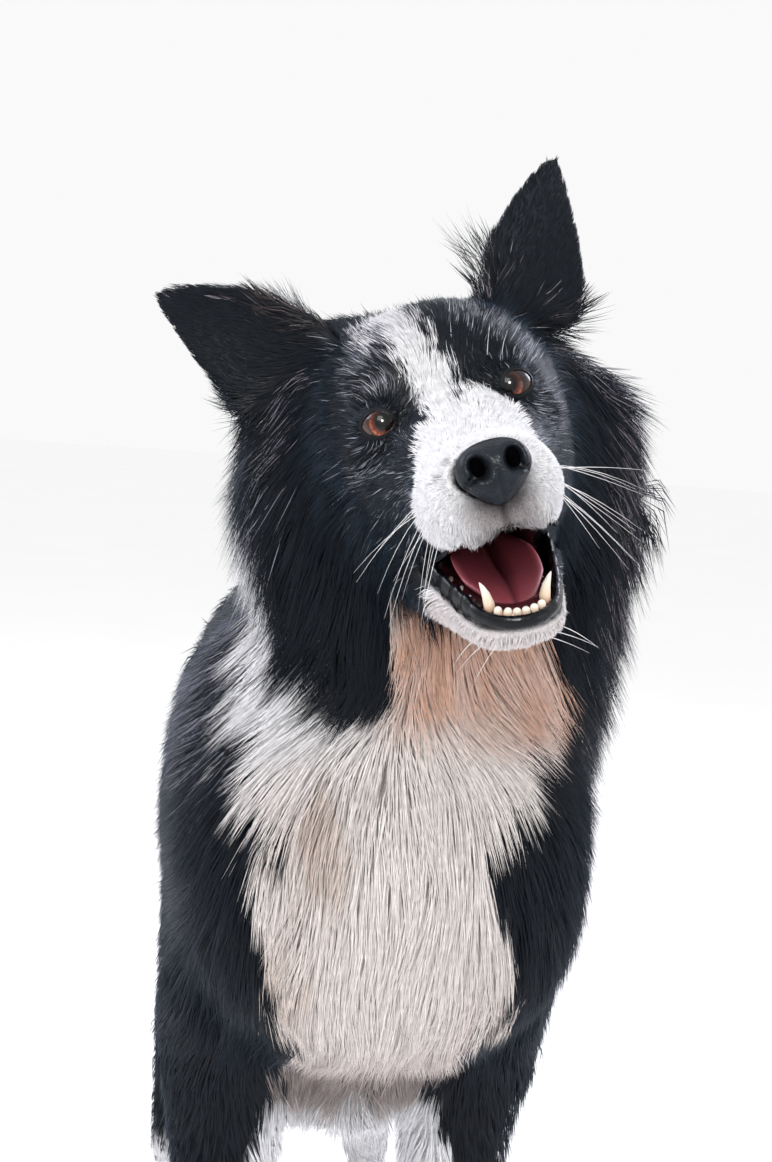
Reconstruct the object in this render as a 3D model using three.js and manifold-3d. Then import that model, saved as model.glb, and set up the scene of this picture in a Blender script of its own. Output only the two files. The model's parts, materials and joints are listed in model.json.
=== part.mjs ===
// Border Collie, adult, standing with its head tilted and its mouth open, at life size.
// Millimetres. +Z is up, the dog faces -Y and +X is its left side.
// The origin lies on the floor, under the middle of the outline's box.
// Every form of the body reaches out to the tips of the coat.

import * as THREE from 'three';
import Module from 'manifold-3d';
import { LoftGeometry } from 'three/addons/geometries/LoftGeometry.js';
import { mergeVertices } from 'three/addons/utils/BufferGeometryUtils.js';

const wasm = await Module();
wasm.setup();

// Driving dimensions of the body, coat included.
const WITHERS_Z = 548;
const BACK_Z = 538;
const CROUP_Z = 526;
const BRISKET_Z = 280;
const FLANK_Z = 344;
const SHOULDER_HALF = 127;
const RIB_HALF = 118;
const LOIN_HALF = 92;
const BREAST_Y = -182;
const BUTTOCK_Y = 462;
const FORELEG_X = 70;
const HIP_Y = 395;
const HIP_SWING = 26;
const HINDLEG_X = 80;
const RUFF_HALF = 124;

// Heights where the legs are named apart, and the lengths where the trunk is.
const ELBOW_Z = 272;
const CARPUS_Z = 98;
const STIFLE_Z = 268;
const HOCK_Z = 152;
const CHEST_END_Y = 62;
const BARREL_END_Y = 268;
const TAIL_PART_Z = 335;

// The head: the point midway between the eyes, and how it is turned.
const EYE_MID = new THREE.Vector3(-10, -180, 665);
const HEAD_PITCH = THREE.MathUtils.degToRad(-6);
const HEAD_ROLL = THREE.MathUtils.degToRad(-20.5);
const HEAD_YAW = THREE.MathUtils.degToRad(-8.5);
const EYE_SPACING = 70;
const EYEBALL_RADIUS = 11;
const EYEBALL_DEPTH = 6.5;
const ORBIT_HALF_SIZE = new THREE.Vector3(11, 10, 7.5);
const ORBIT_SLANT = THREE.MathUtils.degToRad(36);
const NOSE_REACH = 95;
const NOSE_DROP = 38;
const NOSTRIL_X = 8.5;
const NOSTRIL_HALF_SIZE = new THREE.Vector3(3.6, 7, 3.4);
const EAR_HALF_WIDTHS = [37, 35, 28, 17, 5];
// The jaw hangs open and a little aside.
const JAW_TURN = new THREE.Euler(
  THREE.MathUtils.degToRad(16),
  THREE.MathUtils.degToRad(8),
  THREE.MathUtils.degToRad(3),
  'YZX',
);
const JAW_HINGE = new THREE.Vector3(0, 55, -35);
const CANINE = { x: 13.5, y: -77, base: -70, height: 16, radius: 4.4, lean: 0.2 };
const INCISOR = { y: -83, base: -70, height: 9.5, radius: 2.2, lean: 0 };
const INCISOR_PITCH = 3.9;
const INCISOR_ARCH = 1.6;

// The paws.
const FOREPAW_Y = -38;
const HIND_PAW_Y = 384;
const PAW_WIDTH = 54;
const PAW_LENGTH = 78;
const PAW_HALF_HEIGHT = 20;
const PAW_MIDDLE_Z = 15;
const TOES = 4;
const TOE_PITCH = 12.7;
const TOE_Z = 12;
const TOE_HALF_SIZE = new THREE.Vector3(8.4, 18, 14);
const INNER_TOE_REACH = 23.4;
const OUTER_TOE_REACH = 12.5;
const CLAW_LENGTH = 14;
const CLAW_RADIUS = 3;
const CLAW_SLOPE = THREE.MathUtils.degToRad(17);
const CLAW_AHEAD = 20;
const CLAW_Z = 9;

// Clearance kept between neighbours, and a size larger than anything here.
const GAP = 0.35;
const FAR = 2000;

// The share of its size that a loft keeps at its blunt ends.
const END_FLAT = 0.14;

const FORWARD = new THREE.Vector3(0, -1, 0);
const BACKWARD = new THREE.Vector3(0, 1, 0);
const UP = new THREE.Vector3(0, 0, 1);

const COAT_BLACK = surface(0x14161d, 0.75);
const COAT_WHITE = surface(0xe9e4dd, 0.8);
const LEATHER_BLACK = surface(0x1b1c20, 0.45);
const MOUTH_PINK = surface(0xb2565f, 0.4);
const JAW_CREAM = surface(0xdccbbb, 0.7);
const EYE_AMBER = surface(0x6b3a1f, 0.08);

function surface(color, roughness) {
  return new THREE.MeshStandardMaterial({ color, roughness, metalness: 0 });
}

// ---- forms ----

// A ring of a loft: its centre, and its half sizes to the side, ahead and behind.
function ring(x, y, z, side, ahead, behind = ahead) {
  return { at: new THREE.Vector3(x, y, z), size: new THREE.Vector3(side, ahead, behind) };
}

// An upright ring of the trunk or head, given by its top, bottom and half width.
// It is widest at the given share of its height, and `x` sets it off to a side.
function slice(y, top, bottom, half, share = 0.5, x = 0) {
  const middle = bottom + (top - bottom) * share;
  return ring(x, y, middle, half, top - middle, middle - bottom);
}

// How far the curve of the back carries the body to its left at y.
function swing(y) {
  return HIP_SWING * THREE.MathUtils.smoothstep(y, 0, HIP_Y);
}

// How much a loft has closed in at parameter t, as a quarter round at each end.
function roundedEnds(t, cap) {
  const rise = Math.min(Math.min(t, 1 - t) / cap, 1);
  return Math.max(Math.sqrt(1 - (1 - rise) ** 2), END_FLAT);
}

// One point of a ring: `cup` curls both side edges towards the form's front.
function ringPoint(angle, size, squareness, cup) {
  const power = 2 / squareness;
  const across = Math.sign(Math.cos(angle)) * Math.abs(Math.cos(angle)) ** power;
  const along = Math.sign(Math.sin(angle)) * Math.abs(Math.sin(angle)) ** power;
  const depth = along > 0 ? size.y : size.z;
  return [across * size.x, along * depth - cup * size.x * across ** 2];
}

// A smooth closed form through rings, whose "ahead" half faces the given direction.
// Each ring stands square to the form's line, or to `facing` where that is given.
function loft(rings, ahead, options = {}) {
  const { steps = 14, around = 20, squareness = 2, cup = 0, cap = 0.6, facing } = options;
  const centres = new THREE.CatmullRomCurve3(rings.map((r) => r.at));
  const sizes = new THREE.CatmullRomCurve3(rings.map((r) => r.size), false, 'catmullrom', 0.5);
  const capLength = cap / (rings.length - 1);
  const sections = [];
  for (let i = 0; i <= steps; i += 1) {
    const t = (1 - Math.cos((Math.PI * i) / steps)) / 2;
    const centre = centres.getPoint(t);
    const size = sizes.getPoint(t).multiplyScalar(roundedEnds(t, capLength));
    const tangent = facing ?? centres.getTangent(t);
    const front = ahead.clone().addScaledVector(tangent, -ahead.dot(tangent)).normalize();
    const side = new THREE.Vector3().crossVectors(front, tangent);
    const section = [];
    for (let j = 0; j < around; j += 1) {
      const [u, v] = ringPoint((2 * Math.PI * j) / around, size, squareness, cup);
      section.push(centre.clone().addScaledVector(side, u).addScaledVector(front, v));
    }
    sections.push(section);
  }
  const form = new LoftGeometry(sections, { capStart: true, capEnd: true });
  return new THREE.BufferGeometry().copy(form);
}

function ellipsoid(at, half, around, rows) {
  const geometry = new THREE.SphereGeometry(1, around, rows);
  geometry.scale(half.x, half.y, half.z);
  return geometry.translate(at.x, at.y, at.z);
}

function block(low, high) {
  const size = new THREE.Vector3().subVectors(high, low);
  const middle = new THREE.Vector3().addVectors(low, high).multiplyScalar(0.5);
  return new THREE.BoxGeometry(size.x, size.y, size.z).translate(middle.x, middle.y, middle.z);
}

// ---- solids ----

function welded(geometry) {
  const bare = geometry.clone();
  bare.deleteAttribute('normal');
  bare.deleteAttribute('uv');
  return mergeVertices(bare, 1e-4);
}

function solid(geometry) {
  const { attributes, index } = welded(geometry);
  const vertProperties = new Float32Array(attributes.position.array);
  const triVerts = new Uint32Array(index.array);
  return new wasm.Manifold(new wasm.Mesh({ numProp: 3, vertProperties, triVerts }));
}

// The room a form needs: the form itself, pushed out along its normals by the clearance.
function room(geometry, clearance = GAP) {
  const grown = welded(geometry);
  grown.computeVertexNormals();
  const { position, normal } = grown.attributes;
  for (let i = 0; i < position.count; i += 1) {
    position.setXYZ(
      i,
      position.getX(i) + normal.getX(i) * clearance,
      position.getY(i) + normal.getY(i) * clearance,
      position.getZ(i) + normal.getZ(i) * clearance,
    );
  }
  return solid(grown);
}

function joined(geometries) {
  return geometries.map(solid).reduce((whole, next) => whole.add(next));
}

// What is left of a body when each neighbour has its room.
function cleared(body, neighbours) {
  return neighbours.reduce((rest, form) => rest.subtract(room(form)), body);
}

function geometryOf(body) {
  const { vertProperties, triVerts } = body.getMesh();
  const geometry = new THREE.BufferGeometry();
  geometry.setAttribute('position', new THREE.BufferAttribute(vertProperties, 3));
  geometry.setIndex(new THREE.BufferAttribute(triVerts, 1));
  geometry.computeVertexNormals();
  return geometry;
}

function piece(name, body, material) {
  const mesh = new THREE.Mesh(geometryOf(body), material);
  mesh.name = name;
  return mesh;
}

// The stretch of a body between two levels along an axis, short of each cut by half the gap.
function stretch(body, axis, from, to) {
  const low = new THREE.Vector3(-FAR, -FAR, -FAR);
  const high = new THREE.Vector3(FAR, FAR, FAR);
  low[axis] = from + GAP / 2;
  high[axis] = to - GAP / 2;
  return body.intersect(solid(block(low, high)));
}

// ---- the trunk, the neck and the tail ----

function trunkForm() {
  return loft([
    slice(BREAST_Y, 466, 372, 48),
    slice(-158, 492, 334, 82),
    slice(-122, 516, 300, 108),
    slice(-55, 536, BRISKET_Z + 4, SHOULDER_HALF),
    slice(35, WITHERS_Z, BRISKET_Z, SHOULDER_HALF - 4),
    slice(140, BACK_Z + 2, 288, RIB_HALF, 0.5, swing(140)),
    slice(240, BACK_Z, 310, RIB_HALF - 8, 0.5, swing(240)),
    slice(325, BACK_Z - 4, FLANK_Z, LOIN_HALF, 0.5, swing(325)),
    slice(HIP_Y, CROUP_Z, 362, LOIN_HALF - 4, 0.5, swing(HIP_Y)),
    slice(BUTTOCK_Y, 496, 378, 62, 0.5, HIP_SWING),
  ], UP, { steps: 15, around: 17, squareness: 2.5, facing: BACKWARD });
}

// The long hair that hangs from the brisket between the forelegs.
function briskFringeForm() {
  return loft([
    ring(0, -30, 345, 50, 50, 60),
    ring(-2, -22, 288, 46, 52, 58),
    ring(-3, -14, 250, 40, 44, 52),
    ring(-4, -8, 212, 30, 34, 40),
  ], FORWARD, { steps: 4, around: 8 });
}

// The neck with its ruff: the coat is fullest below the cheeks.
function neckForm() {
  return loft([
    ring(0, -20, 395, 104, 108, 70),
    ring(2, -38, 470, SHOULDER_HALF - 6, 118, 92),
    ring(20, -60, 545, RUFF_HALF - 14, 102, 100),
    ring(13.5, -76, 616, RUFF_HALF + 1, 84, 75),
    ring(13.5, -90, 664, RUFF_HALF - 12, 52, 54),
    ring(15, -97, 698, RUFF_HALF - 35, 30, 34),
    ring(16, -99, 712, 56, 18, 22),
  ], FORWARD, { steps: 10, around: 14, squareness: 2.1 });
}

function tailForm() {
  return loft([
    ring(HIP_SWING, 415, 492, 32, 26),
    ring(HIP_SWING, 474, 474, 38, 34, 38),
    ring(HIP_SWING - 2, 512, 410, 46, 38, 48),
    ring(HIP_SWING - 6, 530, 335, 54, 42, 54),
    ring(HIP_SWING - 12, 544, 258, 52, 40, 48),
    ring(HIP_SWING - 20, 576, 194, 38, 28, 32),
    ring(HIP_SWING - 28, 622, 166, 14, 10, 10),
  ], BACKWARD, { steps: 11, around: 11 });
}

// ---- the legs, for the left side (side = 1) or the right (side = -1) ----

function forelegForm(side) {
  const x = side * FORELEG_X;
  return loft([
    ring(side * 62, -44, 430, 44, 58, 62),
    ring(side * 74, -22, 340, 50, 60, 66),
    ring(side * 73, -2, 262, 45, 44, 60),
    ring(x, 2, 190, 37, 34, 52),
    ring(x, 0, 130, 29, 27, 40),
    ring(x, -3, 92, 26, 25, 29),
    ring(x, -9, 55, 24, 23, 24),
    ring(x, -20, 14, 24, 24, 22),
  ], FORWARD, { steps: 12, around: 10 });
}

function hindlegX(side) {
  return HIP_SWING + side * HINDLEG_X;
}

function hindlegForm(side) {
  const x = hindlegX(side);
  return loft([
    ring(HIP_SWING + side * 50, 384, 474, 38, 78, 68),
    ring(HIP_SWING + side * 58, 360, 405, 46, 88, 88),
    ring(HIP_SWING + side * 67, 342, 334, 45, 68, 88),
    ring(HIP_SWING + side * 73, 366, 268, 37, 46, 70),
    ring(x, 404, 208, 28, 32, 46),
    ring(x, 432, 160, 24, 25, 29),
    ring(x, 427, 108, 22, 21, 23),
    ring(x, 417, 58, 22, 21, 22),
    ring(x, 402, 14, 23, 23, 20),
  ], FORWARD, { steps: 13, around: 10 });
}

// A toe with its claw, which points ahead and down. The inner toes are the longer ones.
function toeForms(pawX, pawY, index) {
  const place = index - (TOES - 1) / 2;
  const reach = Math.abs(place) < 1 ? INNER_TOE_REACH : OUTER_TOE_REACH;
  const at = new THREE.Vector3(pawX + place * TOE_PITCH, pawY - reach, TOE_Z);
  const claw = new THREE.ConeGeometry(CLAW_RADIUS, CLAW_LENGTH, 4);
  claw.rotateX(Math.PI + CLAW_SLOPE);
  claw.translate(at.x, at.y - CLAW_AHEAD, CLAW_Z);
  return [ellipsoid(at, TOE_HALF_SIZE, 6, 4), claw];
}

function pawForms(x, y) {
  const half = new THREE.Vector3(PAW_WIDTH * 0.47, PAW_LENGTH * 0.42, PAW_HALF_HEIGHT);
  const forms = [ellipsoid(new THREE.Vector3(x, y, PAW_MIDDLE_Z), half, 8, 5)];
  for (let i = 0; i < TOES; i += 1) {
    forms.push(...toeForms(x, y, i));
  }
  return forms;
}

// A whole leg with its paw, level with the floor.
function legSolid(form, pawX, pawY) {
  const whole = joined([form, ...pawForms(pawX, pawY)]);
  return stretch(whole, 'z', -GAP / 2, FAR);
}

// ---- the head, in its own frame: the origin is midway between the eyes ----

// The skull and the upper muzzle, from the back of the head to the nose.
function skullForm() {
  return loft([
    slice(112, 24, -40, 34),
    slice(88, 50, -64, 57),
    slice(60, 61, -78, 66),
    slice(32, 57, -85, 62),
    slice(10, 44, -83, 53, 0.5),
    slice(-8, 13, -77, 44, 0.48),
    slice(-26, -4, -73, 38, 0.44),
    slice(-52, -16, -73, 35, 0.42),
    slice(-76, -21, -69, 33, 0.44),
    slice(1 - NOSE_REACH, -26, -58, 26, 0.5),
  ], UP, { steps: 17, around: 18, squareness: 2.3, facing: FORWARD });
}

// The hollow of the open mouth, up to the palate and back to the throat.
function mouthForm() {
  return loft([
    slice(-100, -58, -112, 17),
    slice(-64, -55, -108, 22),
    slice(-24, -55, -92, 24),
    slice(34, -58, -76, 15),
  ], UP, { steps: 4, around: 9 });
}

// The eyeball sits a little behind and inside of its pupil.
function eyeForm(side) {
  const at = new THREE.Vector3(side * (EYE_SPACING / 2 - 1.5), EYEBALL_DEPTH, 0);
  return ellipsoid(at, new THREE.Vector3().setScalar(EYEBALL_RADIUS), 12, 8);
}

// The front of the orbit is open, so that the eyeball shows between the lids.
function orbitForm(side) {
  const opening = ellipsoid(new THREE.Vector3(), ORBIT_HALF_SIZE, 9, 5);
  opening.rotateZ(side * ORBIT_SLANT);
  return opening.translate(side * (EYE_SPACING / 2 + 1), -8, 0);
}

function noseForm() {
  return loft([
    ring(0, 12 - NOSE_REACH, 1 - NOSE_DROP, 16, 13, 13),
    ring(0, 3 - NOSE_REACH, -NOSE_DROP, 18, 14, 14.5),
    ring(0, -6 - NOSE_REACH, -1 - NOSE_DROP, 15, 11, 13),
  ], UP, { steps: 6, around: 12, squareness: 2.3 });
}

function nostrilForm(side) {
  const at = new THREE.Vector3(side * NOSTRIL_X, -NOSE_REACH - 7, -NOSE_DROP - 1);
  return ellipsoid(at, NOSTRIL_HALF_SIZE, 6, 4);
}

// An ear from its root to its tip, bowed on the way. Its hollow faces the given direction.
function earForm({ root, tip, bow, hollow }) {
  const rings = EAR_HALF_WIDTHS.map((half, i) => {
    const share = i / (EAR_HALF_WIDTHS.length - 1);
    const at = new THREE.Vector3().lerpVectors(root, tip, share);
    const { x, y, z } = at.addScaledVector(bow, share * (1 - share));
    return ring(x, y, z, half, half * 0.3 + 1.5, half * 0.24 + 1.5);
  });
  return loft(rings, hollow.clone().negate(), { steps: 8, around: 10, cup: 0.4, cap: 0.3 });
}

const EARS = {
  ear_left: earForm({
    root: new THREE.Vector3(54, 64, 34),
    tip: new THREE.Vector3(110, 104, 122),
    bow: new THREE.Vector3(0, 0, 10),
    hollow: new THREE.Vector3(0.5, -0.85, 0.1),
  }),
  ear_right: earForm({
    root: new THREE.Vector3(-54, 62, 30),
    tip: new THREE.Vector3(-126.5, 96, 110),
    bow: new THREE.Vector3(-4, 0, 26),
    hollow: new THREE.Vector3(-0.25, -0.95, -0.1),
  }),
};

// ---- the lower jaw, in the frame of its hinge, as when the mouth is closed ----

function jawSlice(y, top, bottom, half) {
  return slice(y - JAW_HINGE.y, top - JAW_HINGE.z, bottom - JAW_HINGE.z, half);
}

function jawForm() {
  return loft([
    jawSlice(42, -46, -88, 45),
    jawSlice(6, -56, -92, 40),
    jawSlice(-32, -62, -90, 30),
    jawSlice(-62, -64, -87, 24.5),
    jawSlice(-87, -66, -82, 18),
  ], UP, { steps: 8, around: 12, squareness: 2.4 });
}

function tongueForm() {
  return loft([
    jawSlice(20, -48, -70, 18),
    jawSlice(-16, -51, -68, 23),
    jawSlice(-48, -57, -68, 22),
    jawSlice(-76, -62, -69, 16),
  ], UP, { steps: 6, around: 12, cup: -0.12 });
}

function toothForm({ x, y, base, height, radius, lean }) {
  const tooth = new THREE.ConeGeometry(radius, height, 6);
  tooth.translate(0, height / 2, 0);
  tooth.rotateX(Math.PI / 2);
  tooth.rotateY(Math.sign(x) * lean);
  return tooth.translate(x, y - JAW_HINGE.y, base - JAW_HINGE.z);
}

function lowerTeeth() {
  const teeth = [];
  for (const side of [-1, 1]) {
    teeth.push(toothForm({ ...CANINE, x: side * CANINE.x }));
    for (const place of [0, 1, 2]) {
      const x = side * INCISOR_PITCH * (place + 0.5);
      teeth.push(toothForm({ ...INCISOR, x, y: INCISOR.y + place * INCISOR_ARCH }));
    }
  }
  return teeth;
}

// ---- assembly ----

const headFrame = new THREE.Group();
headFrame.position.copy(EYE_MID);
headFrame.rotation.set(HEAD_PITCH, HEAD_ROLL, HEAD_YAW, 'ZXY');
headFrame.updateMatrix();

const jawFrame = new THREE.Group();
jawFrame.position.copy(JAW_HINGE);
jawFrame.rotation.copy(JAW_TURN);
jawFrame.updateMatrix();

const inHead = (form) => form.clone().applyMatrix4(jawFrame.matrix);
const inBody = (form) => form.clone().applyMatrix4(headFrame.matrix);

function addHead() {
  const eyes = [eyeForm(-1), eyeForm(1)];
  const nose = noseForm();
  const neighbours = [...eyes, nose, inHead(jawForm()), inHead(tongueForm())];
  const hollows = joined([orbitForm(-1), orbitForm(1), mouthForm()]);
  const head = cleared(solid(skullForm()).subtract(hollows), neighbours);
  headFrame.add(piece('head', head, COAT_BLACK));
  headFrame.add(piece('eye_right', solid(eyes[0]), EYE_AMBER));
  headFrame.add(piece('eye_left', solid(eyes[1]), EYE_AMBER));
  const nostrils = joined([nostrilForm(-1), nostrilForm(1)]);
  headFrame.add(piece('nose', solid(nose).subtract(nostrils), LEATHER_BLACK));
  for (const [name, form] of Object.entries(EARS)) {
    headFrame.add(piece(name, cleared(solid(form), [skullForm()]), COAT_BLACK));
  }
  headFrame.add(jawFrame);
}

function addJaw() {
  const tongue = tongueForm();
  const jaw = cleared(joined([jawForm(), ...lowerTeeth()]), [tongue]);
  jawFrame.add(piece('lower_jaw', jaw, JAW_CREAM));
  jawFrame.add(piece('tongue', solid(tongue), MOUTH_PINK));
}

function legPieces(body, names, cuts) {
  const levels = [-FAR, ...cuts, FAR];
  return names.map((name, i) => {
    const material = i === 0 ? COAT_WHITE : COAT_BLACK;
    return piece(name, stretch(body, 'z', levels[i], levels[i + 1]), material);
  });
}

function addLegs(dog) {
  for (const [name, side] of [['left', 1], ['right', -1]]) {
    const foreleg = legSolid(forelegForm(side), side * FORELEG_X, FOREPAW_Y);
    const hindleg = legSolid(hindlegForm(side), hindlegX(side), HIND_PAW_Y);
    const foreNames = [`forepaw_${name}`, `forearm_${name}`, `shoulder_${name}`];
    const hindNames = [`hind_foot_${name}`, `shank_${name}`, `thigh_${name}`];
    dog.add(...legPieces(foreleg, foreNames, [CARPUS_Z, ELBOW_Z]));
    dog.add(...legPieces(hindleg, hindNames, [HOCK_Z, STIFLE_Z]));
  }
}

function addTrunk(dog) {
  const legs = [forelegForm(1), forelegForm(-1), hindlegForm(1), hindlegForm(-1)];
  const trunk = cleared(joined([trunkForm(), briskFringeForm()]), legs);
  dog.add(piece('chest', stretch(trunk, 'y', -FAR, CHEST_END_Y), COAT_WHITE));
  dog.add(piece('barrel', stretch(trunk, 'y', CHEST_END_Y, BARREL_END_Y), COAT_BLACK));
  dog.add(piece('rump', stretch(trunk, 'y', BARREL_END_Y, FAR), COAT_BLACK));
}

function addNeck(dog) {
  const headForms = [skullForm(), ...Object.values(EARS), inHead(jawForm())];
  const neighbours = [trunkForm(), forelegForm(1), forelegForm(-1), ...headForms.map(inBody)];
  dog.add(piece('neck', cleared(solid(neckForm()), neighbours), COAT_BLACK));
}

function addTail(dog) {
  const neighbours = [trunkForm(), hindlegForm(1), hindlegForm(-1)];
  const tail = cleared(solid(tailForm()), neighbours);
  dog.add(piece('tail_root', stretch(tail, 'z', TAIL_PART_Z, FAR), COAT_BLACK));
  dog.add(piece('tail_plume', stretch(tail, 'z', -FAR, TAIL_PART_Z), COAT_BLACK));
}

// The origin stands under the middle of the whole outline.
function centre(dog) {
  const outline = new THREE.Box3().setFromObject(dog, true);
  dog.position.x = -(outline.min.x + outline.max.x) / 2;
  dog.position.y = -(outline.min.y + outline.max.y) / 2;
}

const dog = new THREE.Group();
dog.add(headFrame);
addHead();
addJaw();
addLegs(dog);
addTrunk(dog);
addNeck(dog);
addTail(dog);
centre(dog);

export default dog;
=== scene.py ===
"""Skin, coat, eyes, nose, mouth, claws and whiskers of a life-size standing sheepdog."""

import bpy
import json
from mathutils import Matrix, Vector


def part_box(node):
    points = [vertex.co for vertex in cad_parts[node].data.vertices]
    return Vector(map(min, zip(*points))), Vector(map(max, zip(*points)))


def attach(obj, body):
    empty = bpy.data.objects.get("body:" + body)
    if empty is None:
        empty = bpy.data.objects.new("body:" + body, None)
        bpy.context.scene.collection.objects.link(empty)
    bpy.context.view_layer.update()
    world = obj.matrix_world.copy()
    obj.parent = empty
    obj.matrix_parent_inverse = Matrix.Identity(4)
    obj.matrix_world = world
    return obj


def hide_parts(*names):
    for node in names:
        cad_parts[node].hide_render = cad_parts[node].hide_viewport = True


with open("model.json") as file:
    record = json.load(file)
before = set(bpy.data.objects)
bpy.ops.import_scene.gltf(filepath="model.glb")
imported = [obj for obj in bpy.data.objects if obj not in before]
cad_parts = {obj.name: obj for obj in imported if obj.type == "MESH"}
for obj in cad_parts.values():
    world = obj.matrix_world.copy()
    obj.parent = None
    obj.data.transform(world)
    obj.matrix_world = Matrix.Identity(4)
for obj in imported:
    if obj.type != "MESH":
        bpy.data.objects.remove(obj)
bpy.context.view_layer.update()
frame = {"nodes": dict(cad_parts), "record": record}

import json
import math

import bmesh
import bpy
import numpy as np
from bpy.props import FloatProperty, FloatVectorProperty, IntProperty, PointerProperty
from mathutils import Euler, Matrix, Vector
from mathutils.bvhtree import BVHTree
from mathutils.kdtree import KDTree

bl_info = {
    "name": "Standing sheepdog",
    "version": (1, 0, 0),
    "blender": (4, 5, 0),
    "location": "View3D > Sidebar > Dog",
    "description": "Skin, coat, eyes, nose, mouth, claws and whiskers of a standing sheepdog",
    "category": "Add Mesh",
}

MM = 0.001
BODY = "root"

# ---------------------------------------------------------------- driving dimensions

# Head frame: its origin is midway between the pupils, x to the dog's left, y back, z up.
EYEBALL_X = 33.5 * MM
EYEBALL_Y = 6.5 * MM
EYEBALL_RADIUS = 11.0 * MM
NOSE_BEHIND_EYES = -98.5 * MM
NOSE_BELOW_EYES = -38.3 * MM
# The nose leather in millimetres: its middle's level, half sizes, and a nostril's place.
NOSE_LEVEL = -38.5
NOSE_MIDDLE = Vector((0.8, -94.0, NOSE_LEVEL)) * MM
NOSE_HALF_WIDTH = 17.6
NOSE_HALF_DEPTH = 11.5
NOSE_ABOVE = 13.4
NOSE_BELOW = 16.5
NOSTRIL = (8.0, 2.0)
JAW_HINGE = Vector((0.0, 55.0, -35.0)) * MM
JAW_OPENING = math.radians(16.0)
JAW_ROLL = math.radians(8.0)
JAW_SWING = math.radians(3.0)

# The lids: how far their opening looks aside, its half sizes and its slant.
LID_ASIDE = math.radians(21.0)
LID_SLANT = math.radians(9.0)
LID_HALF_WIDTH = 8.8 * MM
LID_HALF_HEIGHT = 6.6 * MM
LID_THICKNESS = 1.0 * MM

# The camera, in front of the dog and a little to its right, and the place that the lamps face.
CAMERA_AT = Vector((-0.22620, -1.27684, 0.67573))
CAMERA_AZIMUTH = math.radians(-12.0)
CAMERA_PITCH = math.radians(-6.0)
CAMERA_ROLL = math.radians(4.0)
CAMERA_LENS_MM = 59.4527
CAMERA_SENSOR_MM = 36.0
LIT_PLACE = Vector((0.0, -0.30, 0.50))

# The skin: its voxels, how it is smoothed and drawn in, and the faces kept on the body.
JOIN_VOXEL = 3.0 * MM
SKIN_VOXEL = 2.2 * MM
FORM_ROUNDS = 26
FIELD_ROUNDS = 60
INWARD_STEPS = 12
DEPTH_OF_THICKNESS = 0.34
EAR_DEPTH = 1.8 * MM
MOUTH_CLEARANCE = 1.4 * MM
BODY_SHARE_KEPT = 0.2

FLESH = (
    "head", "lower_jaw", "ear_left", "ear_right", "neck", "chest", "barrel", "rump",
    "tail_root", "tail_plume", "shoulder_left", "forearm_left", "forepaw_left",
    "thigh_left", "shank_left", "hind_foot_left", "shoulder_right", "forearm_right",
    "forepaw_right", "thigh_right", "shank_right", "hind_foot_right",
)
REGIONS = FLESH + ("crown", "throat")

# The coat: a tuft's patch on the skin's map, how softly tufts are lit, how many make a lock,
# how free all of them may be, their gap to the floor, how deep they root, how many stand wild,
# how they sag, and where their rings are by their number.
TUFT_PATCH = 0.003
SOFTNESS = 0.70
TUFTS_IN_LOCK = 13
FREE_FOR_ALL = 7 * MM
FLOOR_GAP = 1.0 * MM
ROOT_UNDER_SKIN = 0.7 * MM
WILD_SHARE = 0.03
SAG = 0.07
TUFT_MARKS = {1: (0.0, 0.42, 1.0), 2: (0.0, 0.24, 0.62, 1.0)}


# ---------------------------------------------------------------- numbers and arrays

def smoothstep(low, high, values):
    t = np.clip((values - low) / (high - low), 0.0, 1.0)
    return t * t * (3.0 - 2.0 * t)


def unit(vectors):
    length = np.linalg.norm(vectors, axis=-1, keepdims=True)
    return vectors / np.maximum(length, 1e-12)


def dot(a, b):
    return np.sum(a * b, axis=-1)


def moved(matrix, points):
    """The points taken through a 4 x 4 matrix."""
    m = np.array(matrix)
    return points @ m[:3, :3].T + m[:3, 3]


def turned(matrix, vectors):
    return vectors @ np.array(matrix)[:3, :3].T


def wobble(points, scale, seed, waves=7):
    """Smooth noise from about -1 to 1, with features of about `scale`."""
    rng = np.random.default_rng(seed)
    total = np.zeros(len(points))
    for _ in range(waves):
        direction = unit(rng.normal(size=3)) * (2.0 * math.pi / scale) * rng.uniform(0.6, 1.5)
        total += np.sin(points @ direction + rng.uniform(0.0, 2.0 * math.pi))
    return total / math.sqrt(waves)


def blended(base, other, share):
    """Each row of `base` drawn toward `other` by its share."""
    share = share[:, None]
    return base * (1 - share) + np.array(other) * share


def nearness(head, place, reach):
    """1 at a place in the head's frame, falling to 0 beyond its reach in millimetres."""
    away = (head / MM - np.array(place)) / np.array(reach)
    return np.exp(-np.sum(away ** 2, axis=1))


def closed_tree(points, triangles):
    return BVHTree.FromPolygons([Vector(point) for point in points], triangles.tolist())


def point_tree(points):
    tree = KDTree(len(points))
    for i, point in enumerate(points):
        tree.insert(point, i)
    tree.balance()
    return tree


def mesh_arrays(mesh):
    """The points, edges and triangles of a mesh."""
    points = np.empty(len(mesh.vertices) * 3)
    mesh.vertices.foreach_get("co", points)
    edges = np.empty(len(mesh.edges) * 2, np.int64)
    mesh.edges.foreach_get("vertices", edges)
    mesh.calc_loop_triangles()
    triangles = np.empty(len(mesh.loop_triangles) * 3, np.int64)
    mesh.loop_triangles.foreach_get("vertices", triangles)
    return points.reshape(-1, 3), edges.reshape(-1, 2), triangles.reshape(-1, 3)


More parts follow.
